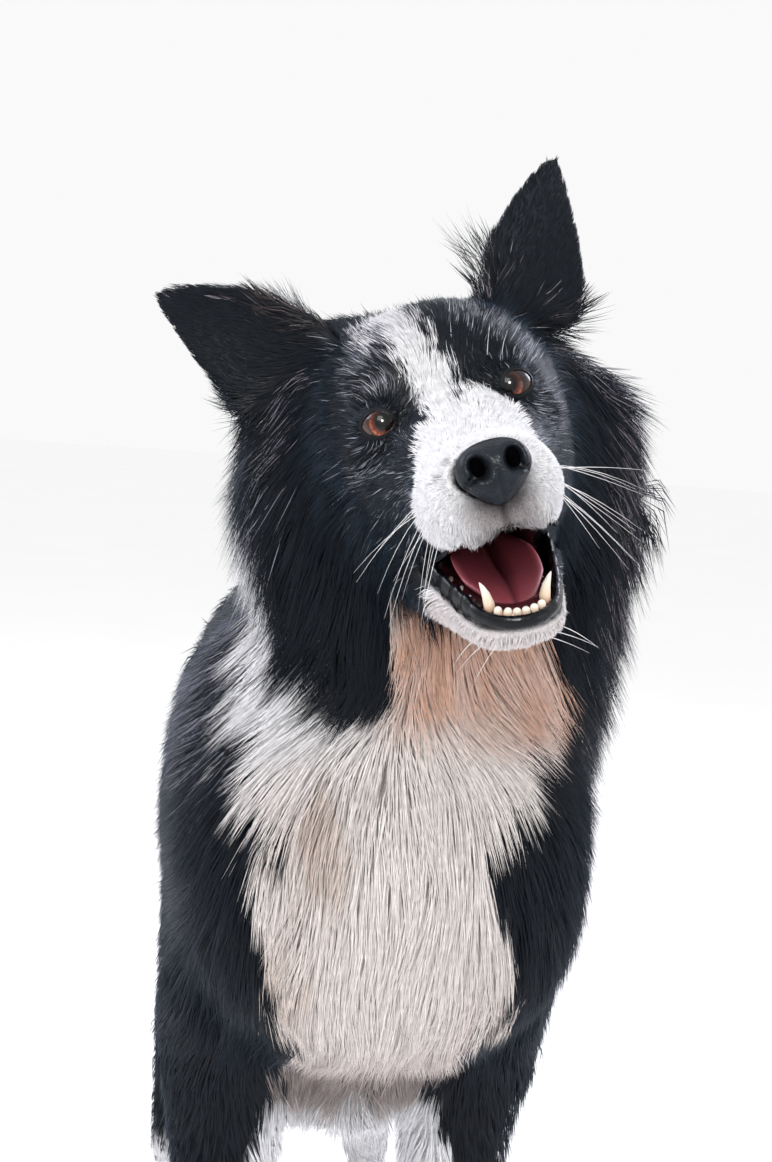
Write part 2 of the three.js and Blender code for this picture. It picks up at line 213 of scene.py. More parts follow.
def neighbour_mean(values, edges):
    """The mean over each point's neighbours."""
    count = len(values)
    a, b = edges[:, 0], edges[:, 1]
    degree = np.bincount(a, minlength=count) + np.bincount(b, minlength=count)
    columns = []
    for column in values.T:
        total = np.bincount(a, column[b], count) + np.bincount(b, column[a], count)
        columns.append(total / np.maximum(degree, 1))
    return np.stack(columns, axis=1)


def smoothed(values, edges, times, share=0.5):
    for _ in range(times):
        values = values + share * (neighbour_mean(values, edges) - values)
    return values


def point_normals(points, triangles):
    """Unit normals, weighted by the triangles' areas."""
    a, b, c = (points[triangles[:, i]] for i in range(3))
    faces = np.cross(b - a, c - a)
    total = np.zeros_like(points)
    for corner in range(3):
        for axis in range(3):
            total[:, axis] += np.bincount(triangles[:, corner], faces[:, axis], len(points))
    return unit(total)


# ---------------------------------------------------------------- frames of the head and jaw

def middle(node):
    low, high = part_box(node)
    return (low + high) / 2.0


def head_matrix():
    """The head's frame, from the places of its eyes and nose."""
    left, right, nose = (middle(node) for node in ("eye_left", "eye_right", "nose"))
    side = (left - right).normalized()
    between = (left + right) / 2.0
    ahead = nose - between
    ahead = (ahead - side * ahead.dot(side)).normalized()
    across = side.cross(ahead)
    slope = math.atan2(-NOSE_BELOW_EYES, -NOSE_BEHIND_EYES)
    back = across * math.sin(slope) - ahead * math.cos(slope)
    up = -ahead * math.sin(slope) - across * math.cos(slope)
    turn = Matrix((side, back, up)).transposed().to_4x4()
    return Matrix.Translation(between - back * EYEBALL_Y) @ turn


HEAD = head_matrix()
TO_HEAD = HEAD.inverted()
# The jaw's frame has the places of the closed mouth, in the head's frame.
JAW_TURN = Matrix.Rotation(JAW_ROLL, 4, "Y") @ Matrix.Rotation(JAW_SWING, 4, "Z")
JAW_TURN = JAW_TURN @ Matrix.Rotation(JAW_OPENING, 4, "X")
JAW = HEAD @ Matrix.Translation(JAW_HINGE) @ JAW_TURN @ Matrix.Translation(-JAW_HINGE)
TO_JAW = JAW.inverted()


def lid_axes(side):
    """The lids' own axes in the head's frame: across, up and out of the eye."""
    out = Vector((side * math.sin(LID_ASIDE), -math.cos(LID_ASIDE), 0.06)).normalized()
    across = Vector((side * math.cos(LID_ASIDE), math.sin(LID_ASIDE), 0.0))
    across = (across * math.cos(LID_SLANT) + Vector((0, 0, 1)) * math.sin(LID_SLANT))
    across = (across - out * across.dot(out)).normalized()
    up = across.cross(out) if side > 0 else out.cross(across)
    if up.z < 0:
        up.negate()
    return across, up, out


def lid_height(u):
    """Half height of the opening at u, as a share: an almond."""
    return np.maximum(1.0 - np.abs(u) ** 2.1, 0.0) ** 0.75


# ---------------------------------------------------------------- settings

def colour_setting(name, description, default):
    """A colour of the settings, by its default."""
    return FloatVectorProperty(name=name, description=description, subtype="COLOR",
                               default=default, min=0.0, max=1.0)


class DogCoatSettings(bpy.types.PropertyGroup):
    """Sizes of the coat."""

    length_share: FloatProperty(
        name="Length", description="Share of the hair's length", default=1.0, min=0.2, max=2.0)
    number_share: FloatProperty(
        name="Number", description="Share of the number of tufts", default=1.0, min=0.05, max=1.2)
    width_share: FloatProperty(
        name="Width", description="Share of the width of each tuft", default=1.0, min=0.3, max=3.0)
    seed: IntProperty(name="Seed", description="Start of the random draws", default=7)


class DogColourSettings(bpy.types.PropertyGroup):
    """Colours of the coat and skin."""

    black: colour_setting("Black", "Blue-black hair", (0.0030, 0.0058, 0.0108))
    white: colour_setting("White", "Pure white hair", (0.90, 0.90, 0.93))
    cream: colour_setting("Cream", "White hair of the chest", (0.88, 0.82, 0.79))
    tan: colour_setting("Tan", "Hair of the throat", (0.70, 0.42, 0.31))
    beige: colour_setting("Beige", "Stained patches of the chest", (0.60, 0.47, 0.40))
    grey: colour_setting("Grey", "Grey hair among the black", (0.26, 0.27, 0.31))
    brown: colour_setting("Brown", "Brown-grey hair at the ears and lips", (0.10, 0.074, 0.072))
    # The mouth's lining is kept near black as painted shade inside the mouth.
    mouth: colour_setting("Mouth", "Lining of the mouth", (0.055, 0.012, 0.016))
    tongue: colour_setting("Tongue", "Tongue", (0.25, 0.050, 0.066))


class DogEyeSettings(bpy.types.PropertyGroup):
    """Sizes of the eye."""

    iris_angle: FloatProperty(
        name="Iris", description="Half angle of the iris on the eyeball", subtype="ANGLE",
        default=math.radians(45.0))
    pupil_angle: FloatProperty(
        name="Pupil", description="Half angle of the pupil on the eyeball", subtype="ANGLE",
        default=math.radians(22.0))
    cornea_rise: FloatProperty(
        name="Cornea", description="How far the cornea stands out", unit="LENGTH",
        default=0.9 * MM)


class DogStageSettings(bpy.types.PropertyGroup):
    """Floor, light and sky of the studio."""

    floor_radius: FloatProperty(
        name="Floor", description="Radius of the floor", unit="LENGTH", default=14.0)
    floor_colour: colour_setting("Floor colour", "Colour of the floor", (0.985, 0.985, 0.99))
    sky_strength: FloatProperty(
        name="Sky", description="Strength of the even light", default=0.95)
    key_power: FloatProperty(
        name="Key light", description="Power of the key light", unit="POWER", default=36.0)
    rim_power: FloatProperty(
        name="Rim light", description="Power of each rim light", unit="POWER", default=17.0)
    catch_power: FloatProperty(
        name="Catch light", description="Power of the light mirrored in the eyes",
        unit="POWER", default=40.0)


# ---------------------------------------------------------------- materials

def shader(name, colour, roughness, **inputs):
    """A new material with a Principled shader; returns it, its nodes and links."""
    material = bpy.data.materials.new(name)
    material.use_nodes = True
    nodes, links = material.node_tree.nodes, material.node_tree.links
    surface = nodes["Principled BSDF"]
    surface.inputs["Base Color"].default_value = (*colour, 1.0)
    surface.inputs["Roughness"].default_value = roughness
    for key, value in inputs.items():
        surface.inputs[key.replace("_", " ")].default_value = value
    return material, nodes, links, surface


def attribute(nodes, name):
    node = nodes.new("ShaderNodeAttribute")
    node.attribute_name = name
    return node


def noise(nodes, links, scale, detail=3.0, vector=None):
    node = nodes.new("ShaderNodeTexNoise")
    node.inputs["Scale"].default_value = scale
    node.inputs["Detail"].default_value = detail
    if vector is None:
        vector = nodes.new("ShaderNodeTexCoord").outputs["Object"]
    links.new(vector, node.inputs["Vector"])
    return node.outputs["Fac"]


def bumped(nodes, links, surface, height, distance, strength=1.0):
    node = nodes.new("ShaderNodeBump")
    node.inputs["Strength"].default_value = strength
    node.inputs["Distance"].default_value = distance
    links.new(height, node.inputs["Height"])
    links.new(node.outputs["Normal"], surface.inputs["Normal"])


def mixed(nodes, links, factor, a, b, kind="MIX"):
    """A mix of two colours, each a socket or a plain colour."""
    node = nodes.new("ShaderNodeMix")
    node.data_type = "RGBA"
    node.blend_type = kind
    for socket, value in ((node.inputs[0], factor), (node.inputs[6], a), (node.inputs[7], b)):
        if isinstance(value, bpy.types.NodeSocket):
            links.new(value, socket)
        elif isinstance(value, float):
            socket.default_value = value
        else:
            socket.default_value = (*value, 1.0)
    return node.outputs[2]


def ramp(nodes, links, value, stops):
    """Colours by a value: each stop a place and a colour."""
    node = nodes.new("ShaderNodeValToRGB")
    while len(node.color_ramp.elements) < len(stops):
        node.color_ramp.elements.new(0.5)
    for element, (place, colour) in zip(node.color_ramp.elements, stops):
        element.position = place
        element.color = (*colour, 1.0)
    links.new(value, node.inputs["Fac"])
    return node.outputs["Color"]


def mottled(name, colour, roughness, scale, stops, bump=None, **inputs):
    """A material with mottled colour; `bump` is its grain's scale, height and strength."""
    material, nodes, links, surface = shader(name, colour, roughness, **inputs)
    links.new(ramp(nodes, links, noise(nodes, links, scale), stops), surface.inputs["Base Color"])
    if bump:
        bumped(nodes, links, surface, noise(nodes, links, bump[0]), *bump[1:])
    return material


def coat_material(name, roughness, sheen, sheen_colour, specular):
    """Hair that takes its colour from the tuft's own tint."""
    material, nodes, links, surface = shader(
        name, (0.5, 0.5, 0.5), roughness, Sheen_Weight=sheen, Sheen_Roughness=0.4,
        Sheen_Tint=(*sheen_colour, 1.0), Specular_IOR_Level=specular)
    tint = attribute(nodes, "tint").outputs["Color"]
    streak = ramp(nodes, links, noise(nodes, links, 260.0), (
        (0.30, (0.80, 0.80, 0.80)), (0.70, (1.12, 1.12, 1.12))))
    links.new(mixed(nodes, links, 1.0, tint, streak, "MULTIPLY"), surface.inputs["Base Color"])
    return material


def skin_material():
    """Skin in the coat's tint, darker in its pores and glossy where wet."""
    material, nodes, links, surface = shader(
        "skin", (0.05, 0.05, 0.05), 0.6, Specular_IOR_Level=0.15)
    tint = attribute(nodes, "tint").outputs["Color"]
    grain = noise(nodes, links, 900.0, 4.0)
    shade = ramp(nodes, links, grain, ((0.35, (0.72, 0.72, 0.72)), (0.65, (1.1, 1.1, 1.1))))
    links.new(mixed(nodes, links, 1.0, tint, shade, "MULTIPLY"), surface.inputs["Base Color"])
    wet = attribute(nodes, "wet").outputs["Fac"]
    gloss = nodes.new("ShaderNodeMapRange")
    gloss.inputs["To Min"].default_value = 0.62
    gloss.inputs["To Max"].default_value = 0.22
    links.new(wet, gloss.inputs["Value"])
    links.new(gloss.outputs["Result"], surface.inputs["Roughness"])
    bumped(nodes, links, surface, grain, 0.4 * MM, 0.6)
    return material


def nose_material():
    material, nodes, links, surface = shader(
        "nose_leather", (0.006, 0.008, 0.012), 0.40, Specular_IOR_Level=0.18)
    cells = nodes.new("ShaderNodeTexVoronoi")
    cells.inputs["Scale"].default_value = 780.0
    links.new(nodes.new("ShaderNodeTexCoord").outputs["Object"], cells.inputs["Vector"])
    bumped(nodes, links, surface, cells.outputs["Distance"], 0.35 * MM, 0.55)
    colour = ramp(nodes, links, noise(nodes, links, 160.0), (
        (0.35, (0.004, 0.007, 0.011)), (0.7, (0.013, 0.018, 0.025))))
    # Painted shade: near black deep in the nostrils and along the groove.
    hollow_shade = attribute(nodes, "hollow_shade").outputs["Fac"]
    colour = mixed(nodes, links, hollow_shade, colour, (0.001, 0.001, 0.0015))
    links.new(colour, surface.inputs["Base Color"])
    return material


# Painted shade: a near-black fill, without gloss, for the shadow deep in each nostril.
def nostril_shade_material():
    return mottled("nostril", (0.0012, 0.0013, 0.0018), 0.9, 500.0, (
        (0.3, (0.0006, 0.0006, 0.0009)), (0.7, (0.0016, 0.0017, 0.0022))),
        Specular_IOR_Level=0.0)


def tongue_material(colour):
    """Soft and wet, with painted shade along its groove, pale at its edge."""
    material, nodes, links, surface = shader(
        "tongue", colour, 0.33, Specular_IOR_Level=0.55, Subsurface_Weight=0.25,
        Subsurface_Radius=(1.0, 0.25, 0.2), Subsurface_Scale=2.0 * MM)
    buds = noise(nodes, links, 1400.0, 2.0)
    edge = attribute(nodes, "edge").outputs["Fac"]
    rim = tuple(min(1.0, value * 1.9 + 0.03) for value in colour)
    # Painted shade: darker along the middle groove.
    deep = tuple(value * 0.42 for value in colour)
    shade = ramp(nodes, links, edge, ((0.0, deep), (0.35, colour), (0.8, colour), (1.0, rim)))
    links.new(shade, surface.inputs["Base Color"])
    bumped(nodes, links, surface, buds, 0.25 * MM, 0.5)
    return material


def gum_material():
    """Pink with black blotches."""
    return mottled("gum", (0.40, 0.14, 0.11), 0.32, 130.0, (
        (0.44, (0.012, 0.010, 0.012)), (0.56, (0.46, 0.19, 0.13))),
        bump=(500.0, 0.3 * MM, 0.5), Specular_IOR_Level=0.4)


def lip_material():
    material, nodes, links, surface = shader(
        "lip", (0.003, 0.004, 0.006), 0.24, Specular_IOR_Level=0.22)
    bumped(nodes, links, surface, noise(nodes, links, 420.0, 4.0), 0.5 * MM, 0.7)
    return material


def tooth_material():
    material, nodes, links, surface = shader(
        "enamel", (0.80, 0.72, 0.60), 0.22, Subsurface_Weight=0.15, Subsurface_Scale=1.0 * MM)
    height = attribute(nodes, "rise").outputs["Fac"]
    shade = ramp(nodes, links, height, (
        (0.0, (0.50, 0.27, 0.16)), (0.35, (0.78, 0.62, 0.46)), (1.0, (0.88, 0.85, 0.78))))
    links.new(shade, surface.inputs["Base Color"])
    return material


def claw_material():
    return mottled("claw_horn", (0.05, 0.04, 0.035), 0.35, 300.0, (
        (0.3, (0.02, 0.016, 0.015)), (0.7, (0.12, 0.095, 0.08))))


def pad_material():
    return mottled("paw_pad", (0.03, 0.027, 0.027), 0.55, 700.0, (
        (0.3, (0.014, 0.013, 0.013)), (0.7, (0.06, 0.05, 0.05))), bump=(700.0, 0.4 * MM))


def whisker_material():
    return mottled("whisker_bristle", (0.8, 0.8, 0.8), 0.35, 60.0, (
        (0.3, (0.62, 0.60, 0.60)), (0.7, (0.92, 0.92, 0.92))))


def eye_material(settings):
    """Pupil, iris and white by the angle from the gaze, under a clear wet coat, with painted shade
    toward the eye's top and painted light toward its bottom.
    """
    material, nodes, links, surface = shader(
        "eyeball", (0.2, 0.1, 0.05), 0.30, Coat_Weight=1.0, Coat_Roughness=0.02,
        Coat_IOR=1.34, Specular_IOR_Level=0.05)
    ray = attribute(nodes, "ray")
    parts = nodes.new("ShaderNodeSeparateXYZ")
    links.new(ray.outputs["Vector"], parts.inputs["Vector"])
    angle = parts.outputs["Z"]
    pupil = settings.pupil_angle / math.pi
    iris = settings.iris_angle / math.pi
    spokes = noise(nodes, links, 7.0, 4.0, ray.outputs["Vector"])
    rings = ramp(nodes, links, angle, (
        (pupil * 0.97, (0.0015, 0.0015, 0.002)),
        (pupil * 1.10, (0.030, 0.008, 0.005)),
        (pupil * 1.5, (0.085, 0.022, 0.012)),
        (iris * 0.80, (0.19, 0.060, 0.034)),
        (iris * 0.92, (0.050, 0.014, 0.010)),
        (iris * 1.0, (0.006, 0.004, 0.004)),
        (iris * 1.10, (0.035, 0.025, 0.024)),
        (1.0, (0.20, 0.16, 0.15))))
    light = ramp(nodes, links, spokes, ((0.35, (0.55, 0.5, 0.5)), (0.68, (1.5, 1.45, 1.4))))
    colour = mixed(nodes, links, 1.0, rings, light, "MULTIPLY")
    # Painted shade and painted light: the eye darker toward its top, as under the lid, and
    # brighter toward its bottom.
    height = nodes.new("ShaderNodeMapRange")
    height.inputs["From Min"].default_value = -1.0
    links.new(parts.outputs["Y"], height.inputs["Value"])
    shade = ramp(nodes, links, height.outputs["Result"], (
        (0.0, (2.6, 2.4, 2.0)), (0.35, (1.6, 1.25, 1.1)),
        (0.62, (0.6, 0.5, 0.5)), (1.0, (0.2, 0.2, 0.25))))
    links.new(mixed(nodes, links, 1.0, colour, shade, "MULTIPLY"), surface.inputs["Base Color"])
    return material


def floor_material(colour):
    dim = tuple(0.985 * value for value in colour)
    return mottled("studio_floor", colour, 0.85, 3.0, ((0.3, dim), (0.7, colour)),
                   Specular_IOR_Level=0.2)


# ---------------------------------------------------------------- making and finishing meshes

def link(name, mesh, material=None):
    mesh.name = name
    piece = bpy.data.objects.new(name, mesh)
    bpy.context.scene.collection.objects.link(piece)
    if material is not None:
        mesh.materials.clear()
        mesh.materials.append(material)
    return piece


def finished(name, bm, material):
    """An object from a bmesh in the row frame: smooth, outward, riding on the body."""
    bmesh.ops.recalc_face_normals(bm, faces=bm.faces)
    mesh = bpy.data.meshes.new(name)
    bm.to_mesh(mesh)
    bm.free()
    mesh.shade_smooth()
    piece = link(name, mesh, material)
    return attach(piece, BODY)


def ring(bm, at, ahead, up, half_side, half_up, sides):
    """A closed ring of edges square to `ahead`."""
    ahead = ahead.normalized()
    side = up.cross(ahead).normalized()
    rise = ahead.cross(side)
    turn = Matrix((side * half_side, rise * half_up, ahead)).transposed().to_4x4()
    made = bmesh.ops.create_circle(
        bm, cap_ends=False, radius=1.0, segments=sides, matrix=Matrix.Translation(at) @ turn)
    return list({edge for vert in made["verts"] for edge in vert.link_edges})


def sweep(bm, points, halves, up, sides=8, closed=False):
    """A tube through the points; `halves` gives each ring's half sizes aside and up."""
    count = len(points)
    loops = []
    for i, (at, (half_side, half_up)) in enumerate(zip(points, halves)):
        before = points[i - 1] if i or closed else points[i]
        after = points[(i + 1) % count] if i < count - 1 or closed else points[i]
        loops.append(ring(bm, at, after - before, up, half_side, half_up, sides))
    pairs = list(zip(loops, loops[1:]))
    if closed:
        pairs.append((loops[-1], loops[0]))
    for first, second in pairs:
        bmesh.ops.bridge_loops(bm, edges=first + second)
    if not closed:
        for loop in (loops[0], loops[-1]):
            bmesh.ops.contextual_create(bm, geom=loop)


def curve_points(controls, count):
    """Points spaced along a smooth line through the controls."""
    marks = np.array(controls, float)
    ends = np.vstack((2 * marks[0] - marks[1], marks, 2 * marks[-1] - marks[-2]))
    places = np.linspace(0.0, len(marks) - 1.0, count)
    out = []
    for place in places:
        i = min(int(place), len(marks) - 2)
        t = place - i
        a, b, c, d = ends[i : i + 4]
        out.append(0.5 * (2 * b + (c - a) * t + (2 * a - 5 * b + 4 * c - d) * t * t
                          + (3 * b - a - 3 * c + d) * t ** 3))
    return np.array(out)


def vectors(points, matrix=None, scale=MM):
    placed = [Vector(point) * scale for point in points]
    return [matrix @ point for point in placed] if matrix else placed


def point_values(mesh, name, values, kind="FLOAT"):
    """Gives a mesh a value for each point."""
    layer = mesh.attributes.new(name, kind, "POINT")
    key = {"FLOAT": "value", "FLOAT_VECTOR": "vector", "FLOAT_COLOR": "color"}[kind]
    if kind == "FLOAT_COLOR":
        values = np.hstack((values, np.ones((len(values), 1))))
    layer.data.foreach_set(key, np.ascontiguousarray(values, np.float32).ravel())


def modified(holder):
    """The mesh that an object's modifiers make, in place of the object."""
    graph = bpy.context.evaluated_depsgraph_get()
    made = bpy.data.meshes.new_from_object(holder.evaluated_get(graph))
    bpy.data.objects.remove(holder)
    return made


def voxel_remesh(mesh, size):
    """The mesh remade as one closed surface of even faces."""
    holder = link("remesh", mesh)
    modifier = holder.modifiers.new("voxels", "REMESH")
    modifier.mode = "VOXEL"
    modifier.voxel_size = size
    return modified(holder)


# ---------------------------------------------------------------- the skin

class Skin:
    """The finished skin's arrays, which the coat grows from."""

    points = normals = triangles = uvs = lie = region = tree = outline = node_at = None
    fields = {}
    flat = {}


def of_node(nodes, *names):
    """Which points belong to these nodes."""
    return np.isin(nodes, [REGIONS.index(name) for name in names])


# Columns of the coat's fields: three sizes, how it stands, how far it may leave the outline,
# and the direction that it lies in.
DEPTH, LENGTH, WIDTH, STAND, FREE = range(5)
LIE = slice(5, 8)

# Coat of each node: depth under the outline, length and width in millimetres, and its stand.
COATS = {
    "head": (3.0, 10.0, 0.58, 0.25),
    "lower_jaw": (2.0, 7.0, 0.6, 0.3),
    "ear_left": (2.0, 7.0, 0.6, 0.2),
    "ear_right": (2.0, 7.0, 0.6, 0.2),
    "neck": (26.0, 52.0, 0.86, 0.8),
    "chest": (17.0, 42.0, 0.95, 0.55),
    "barrel": (19.0, 50.0, 1.9, 0.5),
    "rump": (20.0, 52.0, 2.0, 0.55),
    "tail_root": (28.0, 66.0, 1.9, 0.8),
    "tail_plume": (24.0, 70.0, 1.8, 0.8),
    "shoulder": (16.0, 40.0, 1.6, 0.5),
    "forearm": (8.0, 22.0, 1.35, 0.4),
    "forepaw": (2.4, 8.0, 1.0, 0.3),
    "thigh": (19.0, 46.0, 1.9, 0.6),
    "shank": (8.0, 22.0, 1.4, 0.4),
    "hind_foot": (2.8, 9.0, 1.0, 0.3),
}


def coat_of(node):
    return COATS.get(node) or COATS[node.rsplit("_", 1)[0]]


def flesh_mesh():
    """Copies of the flesh nodes in one mesh, without the teeth and with the eye sockets full."""
    bm = bmesh.new()
    for node in FLESH:
        part = bmesh.new()
        part.from_mesh(frame["nodes"][node].data)
        bmesh.ops.remove_doubles(part, verts=part.verts, dist=1e-6)
        if node == "lower_jaw":
            cut_teeth(part)
        copy = bpy.data.meshes.new("part")
        part.to_mesh(copy)
        part.free()
        bm.from_mesh(copy)
        bpy.data.meshes.remove(copy)
    for side in (1, -1):
        at = HEAD @ Vector((side * EYEBALL_X, EYEBALL_Y, 0.0))
        bmesh.ops.create_uvsphere(
            bm, u_segments=24, v_segments=16, radius=EYEBALL_RADIUS, matrix=Matrix.Translation(at))
    mesh = bpy.data.meshes.new("flesh")
    bm.to_mesh(mesh)
    bm.free()
    return mesh


def cut_teeth(bm):
    """Takes off all that stands above the top of the closed jaw."""
    on_top = JAW @ (Vector((0.0, -87.0, -64.8)) * MM)
    slope = Vector((0.0, -0.155, 1.0)).normalized()
    outward = (JAW.to_3x3() @ slope).normalized()
    bmesh.ops.bisect_plane(
        bm, geom=bm.verts[:] + bm.edges[:] + bm.faces[:], dist=1e-7,
        plane_co=on_top, plane_no=outward, clear_outer=True)
    open_edges = [edge for edge in bm.edges if edge.is_boundary]
    bmesh.ops.holes_fill(bm, edges=open_edges, sides=0)


def nearest_nodes(points):
    """The index in FLESH of the node that each point lies on."""
    places, faces, owners = [], [], []
    for index, node in enumerate(FLESH):
        mesh = frame["nodes"][node].data
        start = len(places)
        places.extend(vert.co for vert in mesh.vertices)
        for face in mesh.polygons:
            faces.append([start + corner for corner in face.vertices])
            owners.append(index)
    tree = BVHTree.FromPolygons(places, faces)
    owners = np.array(owners)
    found = np.array([tree.find_nearest(Vector(point))[2] for point in points])
    return owners[found]


def thickness(points, normals, triangles, reach=0.2):
    """How far it is through the body under each point."""
    tree = closed_tree(points, triangles)
    starts = points - normals * 0.5 * MM
    through = np.full(len(points), reach)
    for i, (start, normal) in enumerate(zip(starts, normals)):
        distance = tree.ray_cast(Vector(start), -Vector(normal), reach)[3]
        if distance is not None:
            through[i] = distance
    return through


def ear_axis(side):
    """Root and tip of an ear in the head's frame."""
    if side > 0:
        return np.array((54.0, 64.0, 34.0)) * MM, np.array((110.0, 104.0, 122.0)) * MM
    return np.array((-54.0, 62.0, 30.0)) * MM, np.array((-128.0, 96.0, 106.0)) * MM


def tail_lie(points):
    """Along the tail, and out of it to the sides and the rear."""
    z = points[:, 2]
    levels = (0.16, 0.22, 0.27, 0.36, 0.46, 0.50)
    back = np.interp(z, levels, (0.90, 0.80, 0.40, 0.20, 0.45, 0.95))
    down = np.interp(z, levels, (-0.50, -0.65, -0.95, -1.00, -0.90, -0.35))
    middle_x = np.interp(z, (0.16, 0.5), (0.004, 0.032))
    out = np.sign(points[:, 0] - middle_x) * np.minimum(np.abs(points[:, 0] - middle_x) * 14, 0.4)
    return np.stack((out, back, down), axis=1)


def lie_of(node, points, head):
    """The direction in which a node's hair lies, in the row frame."""
    count = len(points)
    x, y = points[:, 0], points[:, 1]
    if node == "head":
        from_nose = head - np.array((0.0, -112.0, -42.0)) * MM
        lie = unit(from_nose) + np.array((0.0, 0.35, 0.0))
        lie[:, 2] -= 0.55 * smoothstep(-15 * MM, -60 * MM, head[:, 2])
        return turned(HEAD, lie)
    if node == "lower_jaw":
        lie = np.tile((0.0, 1.0, -0.45), (count, 1))
        lie[:, 0] = head[:, 0] * 6.0
        return turned(HEAD, lie)
    if node.startswith("ear"):
        root, tip = ear_axis(1 if node == "ear_left" else -1)
        return turned(HEAD, np.tile(unit(tip - root), (count, 1)))
    if node == "neck":
        out = unit(np.stack((x - 0.02, y + 0.235, np.zeros(count)), axis=1))
        lie = out * (0.10 + 0.35 * ruff_edge(points)[:, None]) + np.array((0.0, 0.16, -1.0))
        sweep_left = smoothstep(-0.02, 0.01, x) * smoothstep(0.60, 0.55, points[:, 2])
        lie[:, 0] += 0.35 * sweep_left * smoothstep(-0.25, -0.30, y)
        rear = smoothstep(-0.22, -0.14, y)[:, None]
        return lie * (1 - rear) + (np.array((0.0, 0.75, -0.8)) + out * 0.15) * rear
    if node == "chest":
        front = smoothstep(-0.22, -0.31, y)[:, None]
        side = np.stack((np.zeros(count), np.full(count, 0.8), np.full(count, -0.75)), axis=1)
        breast = np.stack((x * 1.6, np.full(count, 0.05), np.full(count, -1.0)), axis=1)
        return side * (1 - front) + breast * front
    if node in ("barrel", "rump"):
        top = smoothstep(0.44, 0.53, points[:, 2])
        down = -0.62 * (1 - top) - 0.08
        return np.stack((np.sign(x) * 0.1, np.full(count, 0.9), down), axis=1)
    if node.startswith("tail"):
        return tail_lie(points)
    name = node.rsplit("_", 1)[0]
    lies = {
        "shoulder": (0.0, 0.35, -1.0), "forearm": (0.0, 0.22, -1.0), "forepaw": (0.0, -0.35, -1.0),
        "thigh": (0.0, 0.55, -0.9), "shank": (0.0, 0.35, -1.0), "hind_foot": (0.0, -0.12, -1.0),
    }
    lie = np.tile(lies[name], (count, 1))
    if name in ("forepaw", "hind_foot"):
        on_toes = smoothstep(0.05, 0.02, points[:, 2])[:, None]
        lie = lie * (1 - on_toes) + np.array((0.0, -1.0, -0.35)) * on_toes
    return lie


def ruff_edge(points):
    """1 at the sides of the ruff, where its hair stands out, and 0 elsewhere."""
    edge = smoothstep(0.070, 0.100, np.abs(points[:, 0] - 0.012))
    return edge * smoothstep(0.48, 0.52, points[:, 2])


def node_fields(points):
    """Depth, length, width, stand and lie of the coat at each point, from its node."""
    nodes = nearest_nodes(points)
    head = moved(TO_HEAD, points)
    table = np.array([coat_of(node) for node in FLESH])
    table[:, :3] *= MM
    numbers = np.hstack((table[nodes], np.zeros((len(points), 1))))
    lie = np.zeros((len(points), 3))
    for index, node in enumerate(FLESH):
        here = nodes == index
        if here.any():
            lie[here] = unit(lie_of(node, points[here], head[here]))
    shape_coat(numbers, points, head, nodes)
    return nodes, np.hstack((numbers, lie))


def shape_coat(numbers, points, head, nodes):
    """Makes the coat deeper, longer, wider or freer in parts of a node."""
    x, y, z = head.T / MM
    z_row = points[:, 2]
    is_head = of_node(nodes, "head")
    face = smoothstep(20, -40, y)
    muzzle = smoothstep(-35, -60, y)
    cheek = smoothstep(28, 60, y) * smoothstep(20, -20, z)
    crown = smoothstep(10, 70, y) * smoothstep(0, 30, z)
    length = 15.0 - 6.0 * face - 4.5 * muzzle + 22.0 * cheek + 8.0 * crown
    numbers[is_head, LENGTH] = length[is_head] * MM
    numbers[is_head, DEPTH] += (10.0 * cheek + 4.0 * crown - 1.2 * muzzle)[is_head] * MM
    numbers[is_head, WIDTH] += (0.35 * cheek - 0.18 * muzzle)[is_head] * MM
    numbers[is_head, STAND] += (0.4 * cheek + 0.5 * smoothstep(-20, 10, y))[is_head]
    edge = (smoothstep(43, 52, np.abs(x)) * smoothstep(-12, 6, y))[is_head]
    numbers[is_head, LENGTH] += 6.0 * MM * edge
    numbers[is_head, FREE] += 2.5 * MM * edge
    on_jaw = of_node(nodes, "lower_jaw")
    chin = smoothstep(-76, -84, moved(TO_JAW, points[on_jaw])[:, 2] / MM)
    numbers[on_jaw, LENGTH] += 7.0 * MM * chin
    numbers[on_jaw, STAND] += 0.5 * chin
    numbers[on_jaw, FREE] += 5.0 * MM * chin
    on_chest = of_node(nodes, "chest")
    fringe = smoothstep(0.30, 0.27, points[on_chest, 2])
    numbers[on_chest, LENGTH] -= 8.0 * MM * fringe
    hem = smoothstep(0.278, 0.290, z_row) * smoothstep(0.335, 0.315, z_row)
    hem = hem[on_chest] * smoothstep(-0.20, -0.235, points[on_chest, 1])
    numbers[on_chest, LENGTH] += 10.0 * MM * hem
    numbers[on_chest, FREE] += 6.9 * MM * hem
    on_neck = of_node(nodes, "neck")
    outer = ruff_edge(points) * on_neck
    numbers[:, LENGTH] += 6.0 * MM * outer
    numbers[:, FREE] += 9.0 * MM * outer
    high = smoothstep(0.61, 0.67, points[on_neck, 2])
    numbers[on_neck, DEPTH] *= 1 - 0.7 * high
    numbers[on_neck, LENGTH] *= 1 - 0.4 * high
    feather = of_node(nodes, "forearm_left", "forearm_right") & (points[:, 1] > -0.15)
    numbers[feather, LENGTH] += 22 * MM
    numbers[feather, DEPTH] += 4 * MM


